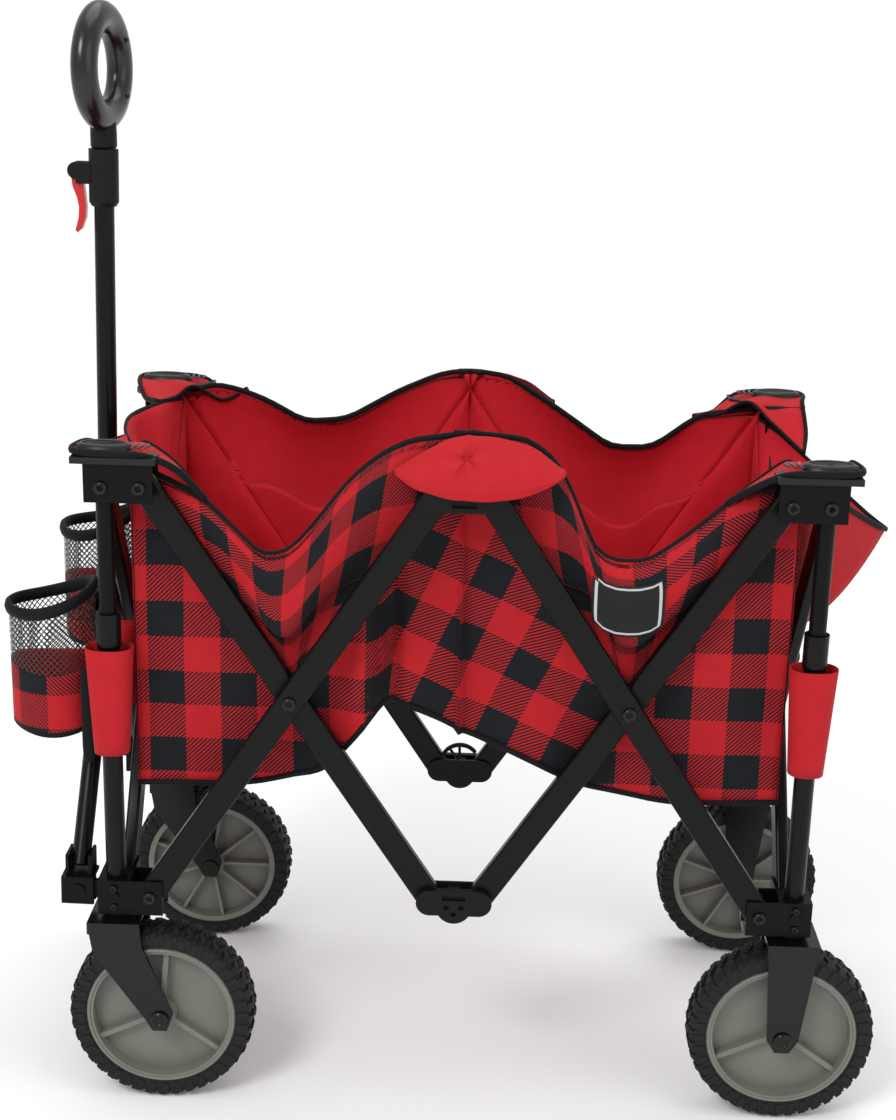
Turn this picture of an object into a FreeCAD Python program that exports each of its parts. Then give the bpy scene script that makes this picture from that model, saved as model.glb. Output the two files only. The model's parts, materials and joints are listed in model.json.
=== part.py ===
"""Folding camp wagon: a four-way folding frame with a hung bag, two casters, two fixed
wheels and a telescoping pull handle. Millimetres; +X to the rear, +Y to the right-hand
side, +Z up; origin on the ground under the middle of the overall box."""
import math
import os
import FreeCAD
import Part

V = FreeCAD.Vector

# ---------------------------------------------------------------- driving dimensions
SHIFT_X = 5.0           # posts' middle to the middle of the overall box
POST_X = 324.5          # post axes, lengthways
POST_Y = 162.8          # post axes, sideways
PIVOT_X = 290.5         # side tube pivots, lengthways
PIVOT_Y = 133.6         # end tube pivots, sideways
Z_LOW = 215.2           # lower row of pivots
TUBE_L = 484.0          # pivot to pivot, every crossing tube
ANGLE = 56.5            # crossing tubes above level
HUB_HALF = 23.35        # centre hub pivots either side of the middle
TUBE_W = 25.0
TUBE_T = 12.5
TUBE_WALL = 1.5
SIDE_END = 8.0          # side tube beyond its end pivot
CROSS_END = 5.0         # end tube beyond its end pivot, clear of the bracket block
LAYER = 6.5             # tube mid-planes either side of the post plane
PIN_R = 3.0
HOLE_R = 3.06
CHEEK_IN = 13.5         # bracket cheek faces from the post plane
CHEEK_OUT = 15.5
POST_R = 9.5
POST_BORE = 8.05
INNER_R = 8.0
COLLAR_Z = (466.0, 497.0)
WHEEL_R = 90.0
RIM_R = 72.5
TYRE_W = 38.0
TRAIL = 42.7
REAR_SET = 3.8          # rear axle ahead of its post
AXLE_R = 5.0
BAG_X = 306.0
BAG_Y = 145.0
CLOTH = 2.0
HANDLE_X = -362.0       # handle hinge line
HANDLE_Z = 214.0
ARM_Y = 147.6           # handle arm pivots, sideways
ARM_Z = 240.0
ARM_HUB_Y = 14.0
ARM_R = 9.0
LEAN = 1.0              # handle leans back, degrees
GRIP_Z = 976.0
GRIP_R = 44.5
GRIP_SEC = 13.5
GRIP_TURN = -9.5        # ring about its neck, degrees
COLLAR_R = 14.0         # clamp collar on the pull tube
LUG_X = 25.0            # lever pivot ahead of the pull tube
LUG_Z = 880.5

DZ = TUBE_L * math.sin(math.radians(ANGLE))
Z_UP = Z_LOW + DZ
Z_MID = Z_LOW + DZ / 2
ARM_L = TUBE_L / 2
ARM_TOP_Z = ARM_Z + DZ / 2


# ---------------------------------------------------------------- helpers
def box(x0, x1, y0, y1, z0, z1):
    """Box from its six faces, given in either order."""
    lo = V(min(x0, x1), min(y0, y1), min(z0, z1))
    return Part.makeBox(abs(x1 - x0), abs(y1 - y0), abs(z1 - z0), lo)


def rod(r, p, q):
    """Round bar from point p to point q."""
    a = V(*p)
    d = V(*q) - a
    return Part.makeCylinder(r, d.Length, a, d)


def fuse(shapes):
    """One shape from several, with the seams cleaned away."""
    out = shapes[0]
    for s in shapes[1:]:
        out = out.fuse(s)
    return out.removeSplitter()


def plate(points, direction, thickness):
    """Flat polygon pushed along a direction."""
    wire = Part.makePolygon([V(*p) for p in points + points[:1]])
    return Part.Face(wire).extrude(V(*direction) * thickness)


def round_bar(width, thick, length, r):
    """Round-edged bar along +X, centred on the X axis, starting at 0."""
    body = Part.makeBox(length, thick, width, V(0, -thick / 2, -width / 2))
    edges = [e for e in body.Edges if abs(e.tangentAt(e.FirstParameter).x) > 0.9]
    return body.makeFillet(r, edges)


def cross_tube(pinned, over):
    """Flat tube along +X with pivots at 0, half and full length, running on by `over` past
    both ends; a pinned tube has the crossing rivet through its middle, others a bore."""
    whole = TUBE_L + 2 * over
    out = round_bar(TUBE_W, TUBE_T, whole, 3.0)
    gap = round_bar(TUBE_W - 2 * TUBE_WALL, TUBE_T - 2 * TUBE_WALL, whole + 2, 1.6)
    gap.translate(V(-1, 0, 0))
    tube = out.cut(gap)
    tube.translate(V(-over, 0, 0))
    for x in (0, TUBE_L / 2, TUBE_L):
        if pinned and x == TUBE_L / 2:
            continue
        tube = tube.cut(rod(HOLE_R, (x, -10, 0), (x, 10, 0)))
    if pinned:
        x = TUBE_L / 2
        pin_out = TUBE_T / 2 + 1.0
        pin_in = 2 * LAYER + TUBE_T / 2 + 2.0
        shank = rod(PIN_R, (x, -pin_in, 0), (x, pin_out, 0))
        head = rod(6.0, (x, TUBE_T / 2 - 0.5, 0), (x, TUBE_T / 2 + 2.0, 0))
        nut = rod(5.0, (x, -pin_in, 0), (x, -pin_in + 1.6, 0))
        tube = fuse([tube, shank, head, nut])
    return tube


def place_tube(tube, start, angle, side):
    """Put a cross tube in a side face (side = +1 or -1 outward along Y) or an end face."""
    t = tube.copy()
    kind, sign = side
    if sign < 0:
        t = t.mirror(V(0, 0, 0), V(0, 1, 0))
    t.rotate(V(0, 0, 0), V(0, -1, 0), angle)
    if kind == "end":
        t.rotate(V(0, 0, 0), V(0, 0, 1), 90)
    t.translate(V(*start))
    return t


# ---------------------------------------------------------------- corners
def corner_bracket(sx, sy, z_pin, z0, z1, side_layer, end_layer):
    """Two-way bracket round a post: a block, cheeks along X and Y, and their pins."""
    px, py = sx * POST_X, sy * POST_Y
    parts = [box(px - CHEEK_OUT, px + CHEEK_OUT, py - CHEEK_OUT, py + CHEEK_OUT, z0, z1)]
    x_end = sx * (PIVOT_X - 12.5)
    y_end = sy * (PIVOT_Y - 12.5)
    for s in (-1, 1):
        parts.append(box(px, x_end, py + s * CHEEK_IN, py + s * CHEEK_OUT, z0, z1))
        parts.append(box(px + s * CHEEK_IN, px + s * CHEEK_OUT, py, y_end, z0, z1))
    body = fuse(parts)
    pins = []
    ox, oy = sx * PIVOT_X, py
    pins.append(rod(PIN_R, (ox, oy - sy * 16.8, z_pin), (ox, oy + sy * 17.5, z_pin)))
    pins.append(rod(6.0, (ox, oy + sy * CHEEK_OUT, z_pin), (ox, oy + sy * 17.5, z_pin)))
    pins.append(rod(5.0, (ox, oy - sy * 16.8, z_pin), (ox, oy - sy * CHEEK_OUT, z_pin)))
    s0 = -side_layer * LAYER - 6.1
    pins.append(rod(6.5, (ox, oy + sy * s0, z_pin), (ox, oy + sy * (s0 + 12.2), z_pin)))
    ox, oy = px, sy * PIVOT_Y
    pins.append(rod(PIN_R, (ox - sx * 16.8, oy, z_pin), (ox + sx * 17.5, oy, z_pin)))
    pins.append(rod(6.0, (ox + sx * CHEEK_OUT, oy, z_pin), (ox + sx * 17.5, oy, z_pin)))
    pins.append(rod(5.0, (ox - sx * 16.8, oy, z_pin), (ox - sx * CHEEK_OUT, oy, z_pin)))
    s0 = -end_layer * LAYER - 6.1
    pins.append(rod(6.5, (ox + sx * s0, oy, z_pin), (ox + sx * (s0 + 12.2), oy, z_pin)))
    bolt = rod(5.5, (px, py + sy * 15, z_pin), (px, py + sy * 17.2, z_pin))
    return fuse([body, bolt] + pins)


def lower_bracket(sx, sy):
    """Lower corner bracket; the front pair carry a lug for the handle."""
    # side tubes at a lower corner lie in the outer layer; the left end tube in the inner
    body = corner_bracket(sx, sy, Z_LOW, 197.0, 232.0, 1, 1 if sy > 0 else -1)
    px, py = sx * POST_X, sy * POST_Y
    parts = [body, rod(13.0, (px, py, 192.5), (px, py, 198.0))]
    if sx < 0:
        y0, y1 = sy * 155.0, sy * 161.0
        parts.append(box(px - 14, HANDLE_X, y0, y1, HANDLE_Z - 9, HANDLE_Z + 9))
        parts.append(rod(9.0, (HANDLE_X, y0, HANDLE_Z), (HANDLE_X, y1, HANDLE_Z)))
    body = fuse(parts)
    if sx < 0:
        body = body.cut(rod(4.06, (HANDLE_X, sy * 150, HANDLE_Z),
                            (HANDLE_X, sy * 166, HANDLE_Z)))
        body = body.cut(rod(6.06, (px, py, 190.0), (px, py, 204.0)))
    return body.cut(rod(POST_R, (px, py, 206.0), (px, py, 240.0)))


def outer_post(sx, sy):
    """Lower post tube with a plastic collar at its mouth."""
    px, py = sx * POST_X, sy * POST_Y
    tube = rod(POST_R, (px, py, 206.0), (px, py, COLLAR_Z[1] - 1))
    collar = rod(11.5, (px, py, COLLAR_Z[0]), (px, py, COLLAR_Z[1]))
    lip = Part.makeCone(11.5, 10.2, 4.0, V(px, py, COLLAR_Z[0]), V(0, 0, -1))
    body = fuse([tube, collar, lip])
    return body.cut(rod(POST_BORE, (px, py, 209.0), (px, py, 500.0)))


def upper_bracket(sx, sy):
    """Upper corner bracket with the sliding inner post under it."""
    body = corner_bracket(sx, sy, Z_UP, 605.0, 641.0, -1, -1 if sy > 0 else 1)
    px, py = sx * POST_X, sy * POST_Y
    post = rod(INNER_R, (px, py, 320.0), (px, py, 610.0))
    bore = rod(INNER_R - 1.5, (px, py, 319.0), (px, py, 600.0))
    return fuse([body, post.cut(bore)])


def corner_cap(sx, sy):
    """Flat moulded cap on top of an upper corner, with a shallow oval boss."""
    px, py = sx * POST_X, sy * POST_Y
    shape = [(26, 20), (-50, 20), (-50, -2), (-14, -38), (20, -38), (26, -30)]
    points = [(px + sx * a, py + sy * b, 641.3) for a, b in shape]
    top = plate(points, (0, 0, 1), 6.0)
    boss = Part.makeCylinder(15.0, 2.5, V(px - sx * 6, py + sy * 1, 647.0), V(0, 0, 1))
    return fuse([top, boss])


# ---------------------------------------------------------------- wheels
def wheel_centre(sx, sy):
    """Axle centre of one wheel."""
    x = -POST_X + TRAIL if sx < 0 else POST_X - REAR_SET
    return x, sy * POST_Y, WHEEL_R


def fork(sx, sy):
    """Two-legged fork with a crown box, its axle and, in front, a swivel stem."""
    cx, cy, cz = wheel_centre(sx, sy)
    px = sx * POST_X
    top = 192.0
    parts = [box(px - 25, px + 25, cy - 25.5, cy + 25.5, 180.0, top)]
    if sx < 0:
        side = [(px - 25, top), (px + 25, top), (px + 27, 168.0), (cx + 13, cz + 6),
                (cx + 7, cz - 12), (cx - 7, cz - 12), (cx - 14, cz), (px - 20, 160.0)]
    else:
        side = [(px - 25, top), (px + 25, top), (px + 21, 168.0), (cx + 15, cz),
                (cx + 7, cz - 13), (cx - 7, cz - 13), (cx - 15, cz), (px - 23, 168.0)]
    for s in (-1, 1):
        y = cy + s * 22.0
        points = [(a, y, b) for a, b in side]
        parts.append(plate(points, (0, s, 0), 3.5))
        parts.append(rod(9.0, (cx, cy + s * 25.0, cz), (cx, cy + s * 28.0, cz)))
    parts.append(rod(AXLE_R, (cx, cy - 27, cz), (cx, cy + 27, cz)))
    if sx < 0:
        parts.append(rod(6.0, (px, cy, 190.0), (px, cy, 203.5)))
    else:
        parts.append(rod(12.0, (px, cy, 190.0), (px, cy, 192.4)))
    body = fuse(parts)
    keep = rod(AXLE_R, (cx, cy - 27, cz), (cx, cy + 27, cz))
    crown = box(px - 30, px + 30, cy - 22, cy + 22, 170.0, 188.0)
    return fuse([body.cut(crown), keep])


def tyre(sx, sy):
    """Plain tyre ring with rounded shoulders."""
    cx, cy, cz = wheel_centre(sx, sy)
    h = TYRE_W / 2
    wire = Part.makePolygon([V(RIM_R, -h + 2, 0), V(WHEEL_R - 7, -h, 0),
                             V(WHEEL_R, -h + 7, 0), V(WHEEL_R, h - 7, 0),
                             V(WHEEL_R - 7, h, 0), V(RIM_R, h - 2, 0),
                             V(RIM_R, -h + 2, 0)])
    ring = Part.Face(wire).revolve(V(0, 0, 0), V(0, 1, 0), 360)
    ring.translate(V(cx, cy, cz))
    return ring


def wheel_hub(sx, sy):
    """Dished wheel disc with a rim band, a bored boss, and ribs on both faces."""
    cx, cy, cz = wheel_centre(sx, sy)
    h = TYRE_W / 2 - 2
    rim = Part.makeCylinder(RIM_R, 2 * h, V(0, -h, 0), V(0, 1, 0))
    rim = rim.cut(Part.makeCylinder(RIM_R - 6, 2 * h + 2, V(0, -h - 1, 0), V(0, 1, 0)))
    web = Part.makeCylinder(RIM_R - 4, 5.0, V(0, -2.5, 0), V(0, 1, 0))
    boss = Part.makeCylinder(14.0, 2 * h + 4, V(0, -h - 2, 0), V(0, 1, 0))
    parts = [rim, web, boss]
    outer = sy
    for i in range(3):
        rib = box(10, RIM_R - 4, -2.5, 2.5, 0, outer * (h - 5))
        rib.rotate(V(0, 0, 0), V(1, 0, 0), -90)
        rib.rotate(V(0, 0, 0), V(0, 1, 0), 120 * i + 35)
        parts.append(rib)
    for i in range(9):
        rib = box(10, RIM_R - 4, -1.5, 1.5, 0, -outer * (h - 3))
        rib.rotate(V(0, 0, 0), V(1, 0, 0), -90)
        rib.rotate(V(0, 0, 0), V(0, 1, 0), 40 * i)
        parts.append(rib)
    body = fuse(parts)
    body = body.cut(rod(AXLE_R + 0.06, (0, -40, 0), (0, 40, 0)))
    body.translate(V(cx, cy, cz))
    return body


# ---------------------------------------------------------------- crossing frame
def side_tubes(sy):
    """Four flat tubes of one long side, two crossings."""
    out = POST_Y + LAYER
    inn = POST_Y - LAYER
    pinned = cross_tube(True, SIDE_END)
    plain = cross_tube(False, SIDE_END)
    side = ("side", sy)
    return {
        "a": place_tube(plain, (-PIVOT_X, sy * inn, Z_UP), -ANGLE, side),
        "b": place_tube(pinned, (-PIVOT_X, sy * out, Z_LOW), ANGLE, side),
        "c": place_tube(pinned, (HUB_HALF, sy * out, Z_UP), -ANGLE, side),
        "d": place_tube(plain, (HUB_HALF, sy * inn, Z_LOW), ANGLE, side),
    }


def end_tubes(sx):
    """Two flat tubes of one end, one crossing."""
    out = POST_X + LAYER
    inn = POST_X - LAYER
    pinned = cross_tube(True, CROSS_END)
    plain = cross_tube(False, CROSS_END)
    side = ("end", -sx)
    return {
        "f": place_tube(pinned, (sx * out, -PIVOT_Y, Z_UP), -ANGLE, side),
        "e": place_tube(plain, (sx * inn, -PIVOT_Y, Z_LOW), ANGLE, side),
    }


def centre_hub(sy, top):
    """Two-plate hub joining the inner ends of two side tubes."""
    z = Z_UP if top else Z_LOW
    mid = POST_Y + (LAYER if top else -LAYER)
    face = TUBE_T / 2 + 0.25
    hub = []
    inner_t = 3.0
    flip = 1 if top else -1
    for y0, y1 in ((mid + face, mid + face + 6.5), (mid - face - inner_t, mid - face)):
        core = box(-HUB_HALF, HUB_HALF, sy * y0, sy * y1, z - 13, z + 13)
        cap = [rod(13.0, (s * HUB_HALF, sy * y0, z), (s * HUB_HALF, sy * y1, z))
               for s in (-1, 1)]
        nose = rod(17.0, (0, sy * y0, z + flip * 4), (0, sy * y1, z + flip * 4))
        hub += [core, nose] + cap
    bridge = box(-6, 6, sy * (mid - face - 1), sy * (mid + face + 1), z - 11, z + 11)
    hub.append(bridge)
    y0 = sy * (mid - face - inner_t)
    y1 = sy * (mid + face + 3)
    for s in (-1, 1):
        hub.append(rod(PIN_R, (s * HUB_HALF, y0, z), (s * HUB_HALF, y1, z)))
    body = fuse(hub)
    face_y = mid + face + 6.5
    slot = box(-11, 11, sy * (face_y - 3), sy * (face_y + 1), z - flip * 8, z - flip * 3)
    body = body.cut(slot)
    for dx, dz in ((-7, 4), (7, 4), (0, 11)):
        hole = rod(2.6, (dx, sy * (face_y - 3), z + flip * dz),
                   (dx, sy * (face_y + 1), z + flip * dz))
        body = body.cut(hole)
    return body


def hub_cap_right():
    """Small washer plate beside the right-hand top hub, on the rear tube's pivot."""
    mid = POST_Y + LAYER
    y0 = mid - TUBE_T / 2 - 3.6
    return rod(9.0, (HUB_HALF, y0, Z_UP), (HUB_HALF, y0 - 2.0, Z_UP))


# ---------------------------------------------------------------- handle
def lean(shape):
    """Tip a handle piece back about the hinge line."""
    s = shape.copy()
    s.rotate(V(HANDLE_X, 0, HANDLE_Z), V(0, 1, 0), LEAN)
    return s


def yoke(sy):
    """Handle foot: a fork over the bracket lug and a channel for the arm."""
    x, z = HANDLE_X, HANDLE_Z
    parts = []
    for y0, y1 in ((161.3, 165.3), (150.7, 154.7)):
        parts.append(box(x - 16, x + 15, sy * y0, sy * y1, z - 14, z + 14))
    parts.append(box(x - 16, x + 15, sy * 137.0, sy * 165.3, z + 11, z + 14))
    for s in (-1, 1):
        parts.append(box(x + s * 9.4, x + s * 12.4, sy * 136.0, sy * 161.0,
                         z + 11, ARM_Z + 9))
    parts.append(rod(4.0, (x, sy * 150.7, z), (x, sy * 165.3, z)))
    parts.append(rod(7.0, (x, sy * 165.0, z), (x, sy * 167.0, z)))
    parts.append(rod(PIN_R, (x - 12, sy * ARM_Y, ARM_Z), (x + 12, sy * ARM_Y, ARM_Z)))
    return lean(fuse(parts))


def arm(sy):
    """Round arm from a foot up to the handle hub."""
    run = ARM_Y - ARM_HUB_Y
    rise = ARM_TOP_Z - ARM_Z
    uy, uz = -sy * run / ARM_L, rise / ARM_L
    x = HANDLE_X
    p = (x, sy * ARM_Y - uy * 6.5, ARM_Z - uz * 6.5)
    q = (x, sy * ARM_HUB_Y + uy * 9, ARM_TOP_Z + uz * 9)
    tube = rod(ARM_R, p, q)
    for y, z in ((sy * ARM_Y, ARM_Z), (sy * ARM_HUB_Y, ARM_TOP_Z)):
        tube = tube.cut(rod(HOLE_R, (x - 15, y, z), (x + 15, y, z)))
    return lean(tube)


def handle_hub():
    """Hub joining both arms, with a socket for the pull tube."""
    x, z = HANDLE_X, ARM_TOP_Z
    parts = []
    for s in (-1, 1):
        parts.append(box(x + s * 9.4, x + s * 12.4, -27, 27, z - 12, z + 20))
        parts.append(rod(PIN_R, (x - 13.4, s * ARM_HUB_Y, z), (x + 13.4, s * ARM_HUB_Y, z)))
    parts.append(box(x - 12.4, x + 12.4, -13, 13, z + 15, z + 24))
    parts.append(rod(13.0, (x, 0, z + 20), (x, 0, z + 48)))
    body = fuse(parts)
    return lean(body.cut(rod(POST_R, (x, 0, z + 20), (x, 0, z + 60))))


def pull_tube_outer():
    """Lower pull tube."""
    x = HANDLE_X
    tube = rod(POST_R, (x, 0, ARM_TOP_Z + 20), (x, 0, 892.0))
    return lean(tube.cut(rod(POST_BORE, (x, 0, ARM_TOP_Z + 23), (x, 0, 900.0))))


def lock_collar():
    """Clamp collar at the pull tube's mouth, with a lug for the cam lever."""
    x = HANDLE_X
    lug = x - LUG_X
    body = rod(COLLAR_R, (x, 0, 852.0), (x, 0, 901.0))
    foot = Part.makeCone(COLLAR_R, COLLAR_R - 2.5, 4.0, V(x, 0, 852.0), V(0, 0, -1))
    parts = [body, foot]
    for s in (-1, 1):
        parts.append(box(lug, x - 8, s * 4.3, s * 8.0, LUG_Z - 12, LUG_Z + 8))
        parts.append(rod(8.0, (lug, s * 4.3, LUG_Z), (lug, s * 8.0, LUG_Z)))
    parts.append(rod(2.5, (lug, -6, LUG_Z), (lug, 6, LUG_Z)))
    body = fuse(parts)
    return lean(body.cut(rod(POST_R, (x, 0, 840.0), (x, 0, 892.0))).cut(
        rod(POST_BORE, (x, 0, 840.0), (x, 0, 905.0))))


def lever():
    """Curved cam lever under the collar's lug."""
    x = HANDLE_X - LUG_X
    boss = rod(6.0, (x, -4.0, LUG_Z), (x, 4.0, LUG_Z))
    outline = [(-6, 0), (-4, -15), (0, -25), (1.8, -34), (1.2, -44), (-2.0, -56), (0, -58),
               (4.5, -54), (8, -44), (8.6, -34), (7.4, -22), (6.6, -14), (6, 0)]
    blade = plate([(x + a, -4.0, LUG_Z + b) for a, b in outline], (0, 1, 0), 8.0)
    body = fuse([boss, blade])
    return lean(body.cut(rod(2.56, (x, -10, LUG_Z), (x, 10, LUG_Z))))


def pull_tube_inner():
    """Upper pull tube, sliding in the lower one."""
    x = HANDLE_X
    tube = rod(INNER_R, (x, 0, 560.0), (x, 0, 915.0))
    return lean(tube.cut(rod(INNER_R - 1.5, (x, 0, 559.0), (x, 0, 908.0))))


def grip():
    """Ring grip on a short neck."""
    x = HANDLE_X
    ring = Part.makeTorus(GRIP_R, GRIP_SEC, V(x, 0, GRIP_Z), V(1, 0, 0))
    ring.rotate(V(x, 0, GRIP_Z), V(0, 0, 1), GRIP_TURN)
    neck = rod(12.5, (x, 0, 902.0), (x, 0, 926.0))
    body = fuse([ring, neck])
    return lean(body.cut(rod(INNER_R, (x, 0, 890.0), (x, 0, 915.0))))


# ---------------------------------------------------------------- bag
RIM_LINE = [(-1.0, 634.0), (-0.8, 600.0), (-0.6, 556.0), (-0.4, 588.0), (-0.2, 636.0),
            (0.0, 655.0), (0.2, 636.0), (0.4, 588.0), (0.6, 556.0), (0.8, 600.0),
            (1.0, 634.0)]
FLOOR_LINE = [(-1.0, 320.0), (-0.4, 324.0), (-0.22, 396.0), (0.13, 352.0),
              (0.65, 320.0), (1.0, 320.0)]
POCKET_Z = {-1: (368.0, 497.0), 1: (384.0, 512.0)}
POCKET_Y = {-1: -111.0, 1: 102.0}


def bag_side(sy):
    """Side panel: a dipping rim over a folded lower edge."""
    w = BAG_X - CLOTH - 0.5
    y = sy * (BAG_Y - CLOTH)
    points = [(a * w, y, z) for a, z in RIM_LINE]
    points += [(a * w, y, z) for a, z in reversed(FLOOR_LINE)]
    return plate(points, (0, sy, 0), CLOTH)


def bag_floor():
    """Floor panel, folded up across the middle."""
    w = BAG_X - CLOTH - 0.5
    y = BAG_Y - CLOTH - 0.5
    line = [(a * w, z) for a, z in FLOOR_LINE]
    points = [(a, -y, z) for a, z in line]
    points += [(a, -y, z + CLOTH) for a, z in reversed(line)]
    return plate(points, (0, 1, 0), 2 * y)


def end_panel(sx, rim):
    """Flat end panel between the side panels."""
    x = sx * (BAG_X - CLOTH)
    points = [(x, -BAG_Y, 320.0), (x, BAG_Y, 320.0)]
    points += [(x, a * BAG_Y, z) for a, z in rim]
    return plate(points, (sx, 0, 0), CLOTH)


def bottle_pocket(sy):
    """Open-topped bottle pocket hung ahead of the front end panel; the left one hangs
    lower than the right one, and further out so that it clears the handle arm."""
    cx, cy, r = -387.0, POCKET_Y[sy], 41.0
    z0, z1 = POCKET_Z[sy]
    out = rod(r, (cx, cy, z0), (cx, cy, z1))
    gap = rod(r - CLOTH, (cx, cy, z0 + CLOTH), (cx, cy, z1 + 8))
    web = box(-BAG_X + 1, cx + r - 1, cy - 1.5, cy + 1.5, z0 + 25, z1 - 22)
    return fuse([out.cut(gap), web])


def bag_front():
    """Front end panel with its two bottle pockets."""
    rim = [(1.0, 634.0), (0.6, 622.0), (0.0, 604.0), (-0.6, 622.0), (-1.0, 634.0)]
    return fuse([end_panel(-1, rim), bottle_pocket(-1), bottle_pocket(1)])


def bag_rear():
    """Rear end panel with its slack pushed out between the crossing tubes."""
    rim = [(1.0, 634.0), (0.5, 560.0), (0.0, 452.0), (-0.5, 560.0), (-1.0, 634.0)]
    panel = end_panel(1, rim)
    x = BAG_X - 1
    tip = V(418.0, 0, 556.0)
    low = V(x, 0, 444.0)
    parts = [panel]
    for sy in (-1, 1):
        top = V(x, sy * 118.0, 622.0)
        wire = Part.makePolygon([top, tip, low, top])
        parts.append(Part.Face(wire).extrude(V(-1.4, 0, 1.0)))
    return fuse(parts)


# ---------------------------------------------------------------- all parts
def build():
    """Every part by name, in its place."""
    parts = {}
    for sx, e in ((-1, "front"), (1, "rear")):
        for sy, s in ((-1, "left"), (1, "right")):
            tag = e + "_" + s
            parts["lower_bracket_" + tag] = lower_bracket(sx, sy)
            parts["outer_post_" + tag] = outer_post(sx, sy)
            parts["upper_bracket_" + tag] = upper_bracket(sx, sy)
            parts["corner_cap_" + tag] = corner_cap(sx, sy)
            parts["fork_" + tag] = fork(sx, sy)
            parts["tyre_" + tag] = tyre(sx, sy)
            parts["wheel_hub_" + tag] = wheel_hub(sx, sy)
        for k, shape in end_tubes(sx).items():
            parts["end_tube_" + k + "_" + e] = shape
    for sy, s in ((-1, "left"), (1, "right")):
        for k, shape in side_tubes(sy).items():
            parts["side_tube_" + k + "_" + s] = shape
        parts["top_hub_" + s] = centre_hub(sy, True)
        parts["bottom_hub_" + s] = centre_hub(sy, False)
        parts["yoke_" + s] = yoke(sy)
        parts["handle_arm_" + s] = arm(sy)
        parts["bag_side_" + s] = bag_side(sy)
    parts["hub_cap_right"] = hub_cap_right()
    parts["handle_hub"] = handle_hub()
    parts["pull_tube_outer"] = pull_tube_outer()
    parts["lock_collar"] = lock_collar()
    parts["lock_lever"] = lever()
    parts["pull_tube_inner"] = pull_tube_inner()
    parts["grip"] = grip()
    parts["bag_front"] = bag_front()
    parts["bag_rear"] = bag_rear()
    parts["bag_floor"] = bag_floor()
    for shape in parts.values():
        shape.translate(V(SHIFT_X, 0, 0))
    return parts


def main():
    """Write one STEP file per part."""
    os.makedirs("parts", exist_ok=True)
    for name, shape in build().items():
        shape.exportStep("parts/" + name + ".step")


main()
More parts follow.
